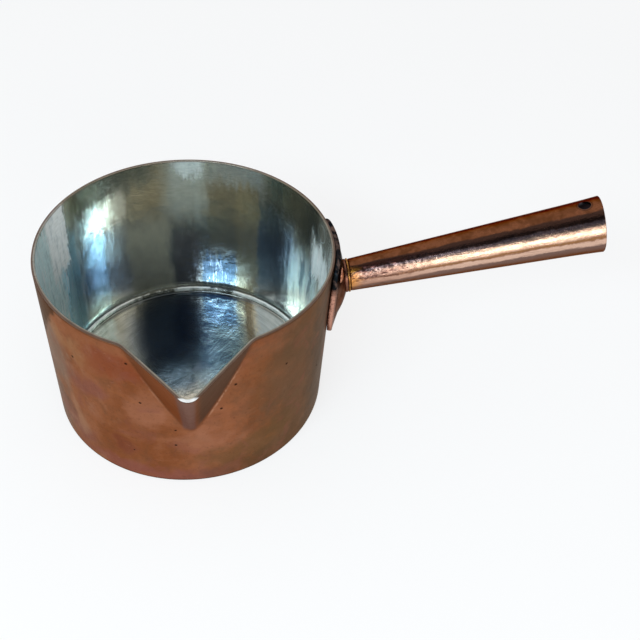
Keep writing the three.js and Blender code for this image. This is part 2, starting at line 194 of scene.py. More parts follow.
# %% [markdown]
# ## Room and floor
# Polished metal shows the room more than its own colour, so the room is a soft even white
# and the floor is pale paper. Light Path tells which rays look at something directly: the
# camera's, a reflection's and glass's. Those see a white backdrop and a floor lifted towards
# white, more so far away, while the light on the pan stays at a plain level.

# %% White room
ROOM_LEVEL = 0.68
WHITE = (1, 1, 1, 1)


def looks_directly(bench):
    """1 for a ray of the camera, of a reflection or through glass, and 0 for other light."""
    kinds = "Is Camera Ray", "Is Glossy Ray", "Is Transmission Ray"
    return reduce(Wire.at_least, [bench.node("LightPath", output=kind) for kind in kinds])


scene.world = bpy.data.worlds.new("white_room")
room = Bench(scene.world)
fill = room.node("Background", inputs={"Color": (0.95, 0.97, 1, 1), "Strength": ROOM_LEVEL})
backdrop = room.node("Background", inputs={"Color": WHITE, "Strength": 1})
seen = room.node("MixShader", inputs={0: looks_directly(room), 1: fill, 2: backdrop})
room.node("OutputWorld", inputs={"Surface": seen})
print("room light:", ROOM_LEVEL)

# %% Paper floor
FLOOR_HALF_SIDE, FLOOR_BELOW = 8.0, 0.0003
FLOOR_LIFT, LIFT_FROM, LIFT_TO = 0.75, 0.6, 2.0

paper = Bench(bpy.data.materials.new("white_paper"))
grain = paper.node("TexNoise", inputs={"Scale": 300.0, "Detail": 3.0})
tooth = paper.node("Bump", inputs={"Strength": 0.05, "Distance": 0.0002, "Height": grain})
look = {"Base Color": (0.86, 0.86, 0.86, 1), "Roughness": 0.9, "Normal": tooth}
plain = paper.node("BsdfPrincipled", inputs=look)
glow = paper.node("Emission", inputs={"Color": WHITE, "Strength": 1})
look = {"Value": length(paper.node("TexCoord", output="Object"))}
look |= {"From Min": LIFT_FROM, "From Max": LIFT_TO, "To Min": FLOOR_LIFT, "To Max": 1.0}
lift = looks_directly(paper) * paper.node("MapRange", inputs=look)
lifted = paper.node("MixShader", inputs={0: lift, 1: plain, 2: glow})
paper.node("OutputMaterial", inputs={"Surface": lifted})

floor_mesh = bpy.data.meshes.new("floor")
corners = [
    (right * FLOOR_HALF_SIDE, back * FLOOR_HALF_SIDE, -FLOOR_BELOW)
    for right, back in ((-1, -1), (1, -1), (1, 1), (-1, 1))
]
floor_mesh.from_pydata(corners, [], [(0, 1, 2, 3)])
floor_mesh.materials.append(paper.owner)
floor = place("floor", floor_mesh)
print("floor:", 2 * FLOOR_HALF_SIDE, "m wide")

# %% [markdown]
# ## Lamps
# Two soft lamps stand for windows. The low one in front draws the long highlight along the
# handle and the glints on the plate and the rivets. The left one is about 40 degrees up: a
# mirror ray from the lens leaves the bowl again at about that height, so this lamp draws the
# bright upright runs in the tin. Both are small, so that they add gloss and little light.

# %% Soft lamps


def soft_lamp(name, watts, size, at, aim, tint=(1, 1, 1)):
    lamp = place(name, bpy.data.lights.new(name, "AREA"))
    lamp.data.shape, lamp.data.energy, lamp.data.color = "RECTANGLE", watts, tint
    lamp.data.size, lamp.data.size_y = size
    lamp.location = at
    lamp.rotation_euler = (Vector(aim) - Vector(at)).to_track_quat("-Z", "Y").to_euler()
    print(name, "at", at, "gives", watts, "W")


LEFT_TINT = (0.72, 0.9, 1)
soft_lamp("low_window", 5.0, (1.1, 0.32), (0.30, -1.25, 0.48), (0.12, 0.0, 0.09))
soft_lamp("left_window", 10.0, (0.7, 0.29), (-0.535, -0.857, 0.865), (0.0, 0.0, 0.05), LEFT_TINT)

# %% [markdown]
# ## Cards
# Bright metal needs something dark to mirror, or it looks like chalk. So cards stand behind
# the lens, two dark and one deep blue: curved sheets round the pan, given by degrees round
# from its back and degrees up. They are seen in reflections only: no camera sees them, they
# throw no shadow and take no light away.

# %% Cards for reflections
CARD_AWAY, CARD_CENTRE_HEIGHT, CARD_TURNS = 1.1, 0.05, 13


def card(name, around, above, shader, inputs):
    turns = np.radians(np.linspace(*around, CARD_TURNS))
    ways = np.stack([np.sin(turns), np.cos(turns), 0 * turns], 1)
    rows = [ways * math.cos(up) + (0, 0, math.sin(up)) for up in np.radians(above)]
    points = np.concatenate(rows) * CARD_AWAY + (0, 0, CARD_CENTRE_HEIGHT)
    faces = [(i, i + 1, CARD_TURNS + i + 1, CARD_TURNS + i) for i in range(CARD_TURNS - 1)]
    mesh = bpy.data.meshes.new(name)
    mesh.from_pydata(points.tolist(), [], faces)
    cloth = Bench(bpy.data.materials.new(name + "_cloth"))
    cloth.node("OutputMaterial", inputs={"Surface": cloth.node(shader, inputs=inputs)})
    mesh.materials.append(cloth.owner)
    sheet = place(name, mesh)
    sheet.visible_camera = sheet.visible_diffuse = sheet.visible_shadow = False
    print(name, "goes from", around, "degrees round and", above, "degrees up")


DARK = {"Color": (0.004, 0.02, 0.05, 1)}
SKY = {"Color": (0.03, 0.17, 0.46, 1), "Strength": 1}
card("dark_card", (129, 190), (30, 45.5), "BsdfDiffuse", DARK)
card("dark_card_above", (126, 191), (45.6, 76), "BsdfDiffuse", DARK)
card("sky_card", (191.5, 237), (44.8, 76), "Emission", SKY)

# %% [markdown]
# ## Sizes
# These are the sizes that the solids were made from, in millimetres. A piece made from the
# same numbers lands exactly where its solid is, so nothing is fitted by eye.

# %% Sizes of the bowl
RIM_RADIUS, BASE_RADIUS, HEIGHT = 80.0, 77.5, 103.5
WALL, RIM_ROUND, FOOT_ROUND = 1.5, 0.35, 1.1
BOTTOM, BEND, UPSTAND, UPSTAND_WALL, UPSTAND_ROUND = 1.6, 2.8, 4.7, 1.6, 0.3
SEAM_DEPTH, SEAM_EDGE = 1.3, 0.15
TIN, TIN_CORNER, TIN_LIP = 0.35, 1.2, 0.2
SPOUT_TURN, SPOUT_ROOT_TURN = math.radians(23.8), math.radians(2.2)
SPOUT_REACH, SPOUT_DEPTH = 33.77, 59.6
NOSE_TOP, NOSE_ROOT = 4.4, 1.3
CREASE_SOFT_ROOT, CREASE_SOFTENING = 0.5, 2.2
LAP_GAP, FIT_GAP = 0.15, 0.3
COPPER_TOP = HEIGHT - TIN - LAP_GAP
SPOUT_ROOT = HEIGHT - SPOUT_DEPTH
BOTTOM_RADIUS = 75.647
INNER_RADIUS = BOTTOM_RADIUS - UPSTAND_WALL
LEDGE = UPSTAND + LAP_GAP
print("spout root at", SPOUT_ROOT, "mm above the floor")

# %% Sizes of the handle
HANDLE_TILT, HANDLE_SLANT, END_SLANT = (math.radians(angle) for angle in (12.9, 5.6, 7.3))
HANDLE_BELOW_RIM, HANDLE_LENGTH, HANDLE_WALL = 28.2, 155.5, 1.8
HANDLE_ROOT_RADIUS, HANDLE_END_RADIUS = 9.0, 15.54
BELL, BELL_LENGTH, END_ROUND, START_ROUND = 0.3, 22.0, 0.6, 0.4
HOLE_RADIUS, HOLE_FROM_END, HOLE_TURN = 3.5, 9.4, math.radians(4)
NECK_LENGTH, NECK_STRAIGHT, NECK_RADIUS, NECK_BORE, NECK_ROUND = 9.6, 1.5, 9.4, 6.1, 0.3
SPIGOT_LENGTH, SPIGOT_RADIUS, SPIGOT_BORE, SPIGOT_CHAMFER = 12.0, 6.9, 5.3, 0.6
PLATE_HALF_WIDTH, PLATE_ABOVE, PLATE_BELOW = 25.2, 26.7, 27.8
PLATE_EDGE, PLATE_EDGE_ROUND, PLATE_BACK_ROUND = 3.0, 1.1, 0.5
TOP_SQUARENESS, BOTTOM_SQUARENESS = 9.0, 2.8
TRUMPET_POWER, TRUMPET_TURN, TRUMPET_SPREAD = 1.35, 2.2, 0.95
RING_WIDTH, RING_PROUD, RING_ROUND = 1.1, 0.15, 0.3
RIVET_SHANK, RIVET_HEAD, RIVET_RISE, RIVET_RIM, RIVET_CONE = 2.5, 4.2, 1.9, 0.5, 5.4
RIVET_FROM_SIDE, RIVET_FROM_TOP, LOWER_RIVET_SHARE = 7.6, 8, 0.54
ROOT_HEIGHT = HEIGHT - HANDLE_BELOW_RIM
print("handle root at", ROOT_HEIGHT, "mm")

# %% [markdown]
# ## Lofts
# Nearly every piece is a stack of closed rings with equally many points, and square faces
# join each ring to the next. That is a loft. One whose last ring joins its first is a closed
# tube or sheet, and one with a point on each end is a closed lump. Smooth shading hides the
# small faces, and edges that turn more than 40 degrees stay sharp.

# %% Loft
SHARP_TURN = math.radians(40)


def lerp(a, b, t):
    return a + (b - a) * t


def quarter(steps):
    """Sine and cosine of evenly spaced turns from 0 to a right angle."""
    turns = np.linspace(0, math.pi / 2, steps + 1)
    return list(zip(np.sin(turns), np.cos(turns)))


def bend(ring, height, rise, reach, inwards, steps, back=False):
    """Rings round a quarter bend, from (height + rise, reach) to (height, reach + inwards),
    or the same rings from last to first."""
    turns = quarter(steps)[::-1] if back else quarter(steps)
    return [ring(height + rise * (1 - s), reach + inwards * (1 - c)) for s, c in turns]


def smooth(mesh):
    mesh.shade_smooth()
    mesh.set_sharp_from_angle(angle=SHARP_TURN)


def loft(name, rings, closed=False, poles=None):
    """A closed body through rings of points in millimetres."""
    count = len(rings[0])
    points = np.concatenate([np.asarray(ring, float) for ring in rings])
    faces = []
    for r in range(len(rings) if closed else len(rings) - 1):
        a, b = r * count, ((r + 1) % len(rings)) * count
        faces += [(a + i, a + (i + 1) % count, b + (i + 1) % count, b + i) for i in range(count)]
    if poles is not None:
        first, end = len(points), (len(rings) - 1) * count
        points = np.concatenate([points, np.asarray(poles, float)])
        faces += [(first, (i + 1) % count, i) for i in range(count)]
        faces += [(first + 1, end + i, end + (i + 1) % count) for i in range(count)]
    mesh = bpy.data.meshes.new(name)
    mesh.from_pydata((points * 0.001).tolist(), [], faces)
    mesh.update()
    smooth(mesh)
    return place(name, mesh)


def level_ring(plan, height):
    """Points in plan, all at one height."""
    return np.column_stack([plan, np.full(len(plan), height)])


def stand_for(piece, node, finish):
    """The piece rides on the pan, hides its plain solid and takes its finish."""
    piece.data.materials.clear()
    piece.data.materials.append(finish)
    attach(piece, "root")
    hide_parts(node)
    print(f"{piece.name}: {len(piece.data.polygons)} faces for {node}")


print("a quarter bend in two steps:", np.round(quarter(2), 2).tolist())

# %% [markdown]
# ## The wall's plan
# A smith made the spout by opening the wall sheet, so it isn't a piece of its own. In plan the
# wall is a circle. Above the spout's root two flat faces leave it at a crease and meet in a
# small rounded nose, and both open out with height. One function gives the outline at any
# height with the same number of points, so the wall is one loft through them.

# %% Outline at a height
BACK_POINTS, CREASE_POINTS, FACE_POINTS, NOSE_POINTS = 96, 7, 14, 10


def wall_radius(z):
    return BASE_RADIUS + (RIM_RADIUS - BASE_RADIUS) * z / HEIGHT


def arc(radius, angles, ahead=0.0):
    """Points at a radius, as (sideways, outwards), round a point straight ahead."""
    return np.stack([radius * np.sin(angles), ahead + radius * np.cos(angles)], -1)


def half_outline(z):
    """From the back of the bowl to the middle of the nose, as (sideways, outwards) points."""
    opened, radius = min(1.0, max(0.0, (z - SPOUT_ROOT) / SPOUT_DEPTH)), wall_radius(z)
    turn = lerp(SPOUT_ROOT_TURN, SPOUT_TURN, opened)
    crease = arc(radius, turn)
    apex = radius + SPOUT_REACH * opened
    slope = math.atan2(apex - crease[1], crease[0])
    half = lerp(NOSE_ROOT, NOSE_TOP, opened)
    touch = np.array([half, apex - half * math.tan(slope)])
    nose_radius = half / math.sin(slope)
    face = touch - crease
    soft = CREASE_SOFT_ROOT + CREASE_SOFTENING * opened
    first = turn + soft / radius
    back = arc(radius, np.linspace(math.pi, first, BACK_POINTS, endpoint=False))
    end = crease + face * min(soft / np.linalg.norm(face), 0.4)
    t = np.linspace(0, 1, CREASE_POINTS, endpoint=False)[:, None]
    rounding = (1 - t) ** 2 * arc(radius, first) + 2 * t * (1 - t) * crease + t ** 2 * end
    plane = lerp(end, touch, np.linspace(0, 1, FACE_POINTS, endpoint=False)[:, None])
    turns = slope * (1 - np.linspace(0, 1, NOSE_POINTS))
    nose = arc(nose_radius, turns, touch[1] - nose_radius * math.cos(slope))
    return np.concatenate([back, rounding, plane, nose])


def outline(z):
    """The whole outline in plan, counter-clockwise seen from above."""
    half = half_outline(z)
    right_side, left_side = half * (1, -1), half * (-1, -1)
    return np.concatenate([left_side[:-1], right_side[::-1][:-1]])


print("points round the wall:", len(outline(50)))

# %% Rings on the wall and on the floor
PLAIN_LEVELS, SPOUT_LEVELS = 12, 30


def inset(points, distance):
    """An outline moved inwards, each point along the bisector of its corner."""

    def inward(run):
        normal = np.stack([-run[:, 1], run[:, 0]], 1)
        return normal / np.linalg.norm(normal, axis=1)[:, None]

    first = inward(points - np.roll(points, 1, 0))
    bisector = first + inward(np.roll(points, -1, 0) - points)
    bisector /= np.linalg.norm(bisector, axis=1)[:, None]
    reach = distance / (bisector * first).sum(1)
    return points + bisector * np.reshape(reach, (-1, 1))


def wall_ring(z, distance):
    """A ring at a height, a distance inside the wall's outer face."""
    return level_ring(inset(outline(z), distance), z)


SPOKES = outline(0) / np.linalg.norm(outline(0), axis=1)[:, None]


def floor_ring(z, radius):
    """A round ring with the wall's number of points. The radius may differ for each point."""
    return level_ring(SPOKES * np.reshape(radius, (-1, 1)), z)


def levels(low, high):
    """Heights for rings, closer together where the spout is open."""
    plain = np.linspace(low, SPOUT_ROOT, PLAIN_LEVELS, endpoint=False)
    return [*plain, *np.linspace(SPOUT_ROOT, high, SPOUT_LEVELS)]


print("wall rings:", len(levels(0, HEIGHT)))

# %% [markdown]
# ## Slight handwork
# A hand-beaten ring wanders by a few tenths of a millimetre. A sum of a few slow waves with
# fixed phases gives a wander that closes on itself and comes out the same on every run.

# %% Wander round a ring
SPOKE_ANGLES = np.arctan2(SPOKES[:, 1], SPOKES[:, 0])


def wander(waves, phase):
    """A closed wavy line between -1 and 1 round the pan."""
    total = sum(
        math.cos(2.3 * k + phase) * np.sin(count * SPOKE_ANGLES + 1.7 * k + phase)
        for k, count in enumerate(waves)
    )
    return total / len(waves) * 1.6


largest = np.abs(wander((3, 7, 13, 22, 31), 0.4)).max()
print("largest wander:", round(float(largest), 2))

# %% [markdown]
# ## Finishing copper
# Old copper isn't one colour. It goes brown where air and hands darken it, pink where it was
# scoured, and olive or purple where it was warm. These are thin films on the same metal, so
# the finish stays metallic, and only colour and gloss change: a few tones mixed by noise at
# three sizes, with broad patches laid where this pan has them. Some patches and marks paint
# light and shade instead: painted shade on the right side and on the spout's right face, and
# painted highlights on one patch and along the creases.

# %% Places on the metal


def parts(wire):
    """The three numbers of a vector."""
    split = wire.bench.node("SeparateXYZ", inputs={0: wire})
    return [Wire(wire.bench, socket) for socket in split.socket.node.outputs]


def join(*numbers):
    """Three numbers as one vector."""
    return bench_of(numbers).node("CombineXYZ", inputs=dict(enumerate(numbers)))


def degrees_of(side, ahead):
    """The turn away from straight ahead, towards a side."""
    return side.math("ARCTAN2", side, ahead) * math.degrees(1)


def millimetres(bench):
    """The point on the piece, in millimetres of the pan's own frame."""
    return vector("MULTIPLY", bench.node("TexCoord", output="Object"), (1000, 1000, 1000))


def cloud(spot, size, detail=3.0, stretch=None, rough=0.5, swirl=0.0):
    """Soft noise between 0 and 1 with features of about a size in millimetres."""
    if stretch:
        spot = vector("MULTIPLY", spot, stretch)
    look = {"Scale": 1 / size, "Detail": detail, "Roughness": rough, "Distortion": swirl}
    return spot.bench.node("TexNoise", inputs={"Vector": spot, **look})


def blotch(flat, middle, half, soft=0.5):
    """1 inside an oval on a flat map, with a soft edge."""
    off_middle = vector("SUBTRACT", flat, (*middle, 0))
    return step(length(vector("DIVIDE", off_middle, (*half, 1))), 1 + soft, 1 - soft)


def band(value, low, high, soft):
    """1 between low and high."""
    return step(value, low - soft, low + soft) - step(value, high - soft, high + soft)


def coats(base, *layers, how="MIX"):
    """Lays tones over a tone or a colour, each one through its own mask."""
    color = tone(*base) if isinstance(base, tuple) else base
    for mask, over in layers:
        color = blend(mask, color, tone(*over), how)
    return color


def new_finish(name):
    return Bench(bpy.data.materials.new(name))


def metal(bench, color, gloss, relief, depth, metallic=1.0, edge=(0.7, 0.6, 0.52, 1.0)):
    """Closes a metal finish: its colour, its roughness, a relief in millimetres, and how much
    it brightens where it is seen edge on."""
    look = {"Base Color": color, "Roughness": gloss, "Metallic": metallic, "Specular Tint": edge}
    look["Normal"] = bench.node(
        "Bump", inputs={"Strength": 1.0, "Distance": depth * 0.001, "Height": relief}
    )
    shader = bench.node("BsdfPrincipled", inputs=look)
    bench.node("OutputMaterial", inputs={"Surface": shader})
    print(bench.owner.name, "has", len(bench.tree.nodes), "nodes")
    return bench.owner


print("helpers for finishes are ready")

# %% [markdown]
# ## The body's copper
# Its patches lie on a flat map of the wall: degrees round from the spout to the right, and
# millimetres up. Each is an oval with a very soft edge, and noise pushes the map about
# first, so that no edge is a clean curve.

# %% Copper of the body
PUSH_SIZE, PUSH_REACH = 26, 34

body = new_finish("aged_copper_body_and_painted_light")
spot = millimetres(body)
x, y, z = parts(spot)
round_degrees = degrees_of(x, y * -1)

push = body.node(
    "TexNoise", inputs={"Vector": spot, "Scale": 1 / PUSH_SIZE, "Detail": 4.0}, output="Color"
)
push = vector("MULTIPLY", vector("SUBTRACT", push, (0.5, 0.5, 0.5)), (PUSH_REACH, PUSH_REACH, 0))
chart = vector("ADD", join(round_degrees, z, 0.0), push)

slow = cloud(spot, 38, 4, rough=0.55, swirl=0.6)
medium = cloud(spot, 11, 5, rough=0.6, swirl=0.4)
fine = cloud(spot, 1.6, 3)
copper = coats(
    (134, 76, 40),
    (step(slow, 0.38, 0.62), (152, 92, 56)),
    (step(medium, 0.45, 0.7) * 0.5, (112, 70, 42)),
    (step(medium, 0.52, 0.28) * 0.4, (160, 106, 76)),
)

PATCHES = [
    # middle (degrees, mm), half size, softness, tone, strength
    # The first two rows darken the right side of the wall towards its edge: painted shade.
    ((50, 50), (26, 75), 0.7, (88, 72, 52), 0.8),
    ((80, 50), (26, 90), 0.6, (56, 54, 48), 0.9),
    ((-88, 50), (30, 80), 0.5, (88, 72, 62), 0.85),
    ((-47, 62), (11, 8), 0.9, (132, 78, 72), 0.65),
    ((-57, 20), (14, 12), 0.7, (130, 82, 76), 0.65),
    ((-51, 32), (6, 10), 0.9, (172, 128, 98), 0.65),
    ((-63, 68), (9, 24), 0.9, (138, 116, 102), 0.75),
    ((-50, 85), (11, 8), 0.9, (166, 122, 84), 0.65),
    ((-28, 86), (12, 10), 0.8, (138, 66, 34), 0.75),
    ((-28, 24), (6, 7), 0.6, (118, 58, 40), 0.7),
    # The next row is a painted highlight, a light patch left of the spout.
    ((-17, 58), (5, 14), 0.9, (170, 114, 86), 0.5),
    ((4, 34), (14, 10), 0.9, (174, 118, 90), 0.55),
    ((25, 20), (18, 12), 0.8, (104, 76, 42), 0.65),
    ((28, 70), (12, 22), 0.8, (122, 82, 52), 0.5),
    ((-18, 5), (36, 7), 0.7, (142, 82, 76), 0.65),
    ((40, 4), (40, 9), 0.8, (84, 62, 38), 0.55),
    ((128, 60), (26, 26), 0.8, (122, 72, 52), 0.6),
    ((148, 30), (16, 22), 0.8, (100, 68, 44), 0.6),
    ((-128, 34), (24, 22), 0.8, (118, 68, 50), 0.6),
    ((-142, 80), (18, 18), 0.9, (158, 104, 72), 0.5),
]
patina = cloud(vector("ADD", spot, (30, 0, 20)), 6, 6, rough=0.68)
for middle, half, soft, over, strength in PATCHES:
    mask = step(blotch(chart, middle, half, soft) + (patina - 0.5) * 0.9, 0.12, 1.0)
    copper = coats(copper, (mask * strength, over))
blooms = cloud(vector("ADD", spot, (0, 20, 50)), 12, 6, stretch=(1, 1, 0.8), rough=0.66)
blooming = 0.08 + band(round_degrees, -140, -39, 20) * 0.37
bruise = cloud(vector("ADD", spot, (0, 60, 0)), 15, 5, rough=0.62, swirl=0.8)
copper = coats(
    copper,
    (step(blooms, 0.52, 0.68) * blooming, (170, 128, 102)),
    (step(blooms, 0.47, 0.34) * blooming, (128, 66, 40)),
    (step(bruise, 0.54, 0.7) * 0.35, (138, 82, 70)),
    (step(bruise, 0.46, 0.3) * step(round_degrees, 50, 10) * 0.4, (158, 94, 50)),
    (slow * 0.2, (150, 118, 110)),
)
print("patches on the body:", len(PATCHES))

# %% The spout's faces, painted shade on the right one, and a dark wedge
FACE_RISE, WEDGE_LEAN = 2.72, 0.52  # mm for each degree, degrees for each mm

face_left = band(round_degrees, -21, -2.4, 1.5) * step(z + round_degrees * FACE_RISE, 40, 46)
face_right = band(round_degrees, 2.4, 21, 1.5) * step(z - round_degrees * FACE_RISE, 40, 46)
nose_strip = band(round_degrees, -3.2, 1.6, 0.7) * step(z, 44, 50)
wedge_edge = (patina - 0.5) * 12 + round_degrees + (103 - z) * WEDGE_LEAN
wedge = step(wedge_edge, -51.5, -55) * step(z, 56, 76) * band(round_degrees, -96, -40, 14)
copper = coats(
    copper,
    (face_left * step(round_degrees, -19, -8) * 0.85, (146, 80, 44)),
    # the spout's right face is painted darker: painted shade
    (face_right * 0.88, (96, 78, 68)),
    (nose_strip * 0.85, (128, 98, 94)),
    # a dark wedge painted on the left of the wall, below the rim
    (wedge * 0.85, (56, 30, 12)),
)

# %% Painted highlights along the creases, pits, and a darker foot and rim
CREASE_LEAN, WALL_DEGREE = 0.362, 1.38  # degrees for each mm up, mm for each degree round
PITS = [
    (-46.5, 78, 0.8), (-21.8, 91.6, 0.75), (-18.3, 63.8, 0.7), (-6, 44.6, 0.6), (-6.3, 32.1, 0.7),
    (11.2, 59.2, 0.75), (16.6, 75.3, 0.75), (38.4, 73.8, 0.7), (-23.2, 22.5, 0.5), (62, 44, 0.6),
    (104, 58, 0.7), (141, 31, 0.6), (-127, 66, 0.7), (-159, 40, 0.6), (-96, 24, 0.6),
]

scuffed = step(cloud(spot, 4, 4, rough=0.7), 0.4, 0.6)
# Each crease gets a broken painted highlight line.
for side, low, high, strength in ((-1, 62, 84, 0.22), (1, 56, 86, 0.6)):
    off_crease = round_degrees * side - (z - SPOUT_ROOT) * CREASE_LEAN - 2.2
    crease_highlight = band(off_crease, -0.6, 0.6, 0.5) * band(z, low, high, 7) * scuffed
    copper = coats(copper, (crease_highlight * strength, (206, 158, 130)))
flat_map = join(round_degrees * WALL_DEGREE, z, 0.0)
pits = reduce(Wire.__add__, [
    blotch(flat_map, (degrees * WALL_DEGREE, height), (size, size), 0.45)
    for degrees, height, size in PITS
])
copper = coats(
    copper,
    (pits * 0.85, (40, 24, 18)),
    (step(z + cloud(spot, 5, 3) * 1.2, 2.6, 1.4) * 0.7, (60, 38, 26)),
    (step(z, 101.6, 102.9) * 0.6, (80, 54, 36)),
)
print("pits:", len(PITS))

# %% Gloss and relief of the body
rubbing = cloud(spot, 1.1, 3, stretch=(0.16, 0.16, 1.4))
grazes = step(cloud(spot, 2.6, 4, stretch=(0.5, 0.5, 1.6), rough=0.7), 0.63, 0.75)
gloss = 0.27 + slow * 0.16 + medium * 0.12 + rubbing * 0.05 + pits * 0.3
relief = cloud(spot, 14, 2) * 1.2 + rubbing * 0.05 + fine * 0.06 + grazes * -0.05 - pits * 0.6
copper = coats(
    copper,
    (grazes * (0.2 + step(round_degrees, 10, -60) * 0.2), (190, 140, 110)),
    (step(fine, 0.56, 0.74) * 0.3, (96, 60, 44)),
)
copper_body = metal(body, copper, gloss, relief, 0.35)

# %% [markdown]
# ## Tin
# The inside was wiped with molten tin, a soft white metal with a faint blue-green cast. The
# wiping leaves fine level lines. The long upright runs and the darker bands are painted
# reflections: whiter runs of a window and dark bands of dark things in front of the pan, and
# the left lamp and the cards add real reflections over them. Runs and bands lie on a flat
# map of the inside: degrees round from the back of the pan, towards the handle, and
# millimetres up. Noise that is stretched upright makes their ends ragged. Some runs are
# dull: they mirror less and catch soft light.

# %% Tin of the wall, with painted reflections
LINING_DEGREE = 1.36  # mm for each degree round the inside

lining_tin = new_finish("wiped_tin_and_painted_reflections")
spot = millimetres(lining_tin)
x, y, z = parts(spot)
inside_degrees = degrees_of(x, y)
ends = cloud(join(inside_degrees, z * 0.16, 0.0), 3.2, 4, rough=0.65)
sides = cloud(join(inside_degrees * 0.6, z * 0.5, 7.0), 9, 4, rough=0.6)
streak_spot = join(inside_degrees * LINING_DEGREE, z * 0.13, 3.0)
streaks = cloud(streak_spot, 1.9, 5, rough=0.68, swirl=0.5)
ragged_turn = inside_degrees + (sides - 0.5) * 7 + (streaks - 0.5) * 5
ragged_height = z + (ends - 0.5) * 30

# Each run paints a reflection into the tin: bright runs a window, dark ones dark things in front
# of the pan, browns and greys the room.
# name, left, right (degrees), low, high (mm), side softness, end softness, tone, strength, matt
RUNS = [
    ("far left sheen", -110, -66, 20, 110, 3, 14, (226, 252, 255), 0.95, 0.8),
    ("left dark reflection", -70, -55, -5, 80, 2.4, 10, (182, 236, 255), 0.85, 0.3),
    ("bright left streaks", -76, -61, 62, 108, 1.3, 6, (250, 255, 255), 0.98, 1.0),
    ("long bright run", -57, -41, -5, 90, 1.6, 7, (232, 250, 252), 0.97, 0.04),
    ("soft grey run", -41, -28, 2, 92, 2, 9, (240, 236, 226), 0.8, 0.1),
    ("back brown", -27, -9, -5, 110, 4, 10, (212, 206, 186), 0.9, 0),
    ("back brown, low", -30, -8.5, 3, 62, 2.5, 12, (206, 200, 176), 0.9, 0.28),
    ("top left", -58, -16, 90, 112, 4, 6, (150, 156, 150), 0.85, 0),
    ("brown over the long run", -57, -40, 84, 104, 2.5, 6, (148, 148, 130), 0.75, 0),
    ("top right", 9, 36, 86, 112, 4, 6, (196, 206, 206), 0.85, 0.2),
    ("wiped patch", -10, 10, 62, 110, 6, 14, (206, 218, 216), 0.85, 0.25),
    ("sky patch", -6, 8, 90, 112, 4, 9, (232, 248, 250), 0.75, 0.7),
    ("dark reflection column", -7, 5.3, 4, 54, 1.4, 8, (174, 168, 162), 0.92, 0.05),
    ("right brown", 9.5, 33, 34, 90, 1.6, 8, (176, 172, 152), 0.9, 0.07),
    ("low sheen", 6.8, 22.5, 2, 32, 1.0, 7, (130, 152, 168), 0.95, 0),
    ("grey right", 23, 35, -5, 88, 2, 8, (200, 188, 156), 0.85, 0.1),
    ("right dark reflection", 35, 55, 2, 84, 1.6, 8, (168, 180, 186), 0.95, 0),
    ("upper right dark reflection", 40, 104, 80, 112, 4, 6, (150, 152, 140), 0.9, 0),
    ("right bright run", 54, 76, 2, 66, 1.3, 6, (240, 255, 255), 0.97, 0.2),
    ("handle side sheen", 69, 92, 58, 83, 3, 7, (244, 255, 255), 0.98, 1.15),
    ("thin dark run", 61.5, 64.5, 34, 66, 0.8, 9, (100, 130, 146), 0.8, 0),
    ("thin dark run two", 68.5, 71, 26, 70, 0.9, 8, (90, 120, 138), 0.7, 0),
]
wall_tin = coats((188, 188, 174), (step(sides, 0.3, 0.7), (200, 200, 188)))
sheens, dulls = [], []
for name, left, right, low, high, side, end, over, strength, matt in RUNS:
    mask = band(ragged_turn, left, right, side) * band(ragged_height, low, high, end) * strength
    wall_tin = coats(wall_tin, (mask, over))
    if "bright" in name or "sheen" in name:
        sheens.append(mask)
    if matt:
        dulls.append(mask * matt)
sheen, dull = reduce(Wire.at_least, sheens), reduce(Wire.at_least, dulls)
print("runs on the tin:", len(RUNS))

# %% [markdown]
# Inside the bright runs the painted reflection breaks into short upright strokes, some whiter
# and some darker. They are one stretched noise, cut at a high and at a low level.

# %% Painted reflection strokes in the runs
dark_strokes = step(streaks, 0.52, 0.66) * (0.14 + sheen * 0.42)
white_strokes = step(streaks, 0.46, 0.39) * (0.1 + sheen * 0.7)
fewer_above = 1 - step(ragged_height, 34, 62) * sheen * 0.4
wall_tin = coats(
    wall_tin, (dark_strokes * fewer_above, (96, 128, 144)), (white_strokes, (252, 255, 255))
)

# %% Tin of the floor, with a painted dark pool of reflection
wobble = cloud(spot, 7, 4, rough=0.6)
floor_x = x + (wobble - 0.5) * 5
floor_y = y + (cloud(vector("ADD", spot, (40, 0, 0)), 7, 4, rough=0.6) - 0.5) * 8
floor_map = join(floor_x, floor_y, 0.0)
from_axis = length(join(x, y, 0.0))
swirl_round = length(vector("SUBTRACT", floor_map, (-8, 38, 0)))
swirls = cloud(join(swirl_round, x * 0.05, y * 0.05), 1.5, 3)
pool_sheen = blotch(floor_map, (18, 28), (15, 42)) * (0.25 + swirls * 0.95)
floor_tin = coats(
    (170, 168, 152),
    (step(wobble, 0.3, 0.7), (192, 190, 176)),
    # the right side painted lighter: painted reflection
    (step(floor_x, 30, 44) * 0.85, (252, 248, 238)),
    # a painted dark reflection pool, darkest on its left, with a painted sheen on its right
    (blotch(floor_map, (0, 30), (38, 44)) * 0.65, (70, 104, 142)),
    (blotch(floor_map, (-17, 38), (19, 34)) * 0.62, (14, 50, 92)),
    (pool_sheen * 0.3, (140, 170, 192)),
    # lighter towards the front tip, then a pale blue painted reflection at the pool's front left
    (step(floor_y, -6, -22) * 0.45, (236, 220, 192)),
    (blotch(floor_map, (-12, -3), (10, 12), 0.7) * 0.6, (150, 184, 206)),
    # painted reflection: a brown fringe at the pool's right edge and a dark band at the back
    (band(floor_x, 35, 40, 1.4) * step(y, 4, 20) * 0.6, (96, 74, 50)),
    (step(from_axis, 69.5, 72) * step(y, 20, 50) * 0.6, (40, 46, 46)),
)
on_floor = step(z, 4.2, 3.4)
on_wall = 1 - on_floor
tin_color = blend(on_floor, wall_tin, floor_tin)
print("the floor is laid out")

# %% Ledge with painted highlights, lip, a painted glint, rivet marks and the tin's fine lines
RIVET_MARKS = (77.3, 94.0), (102.7, 94.0), (90.0, 56.0)

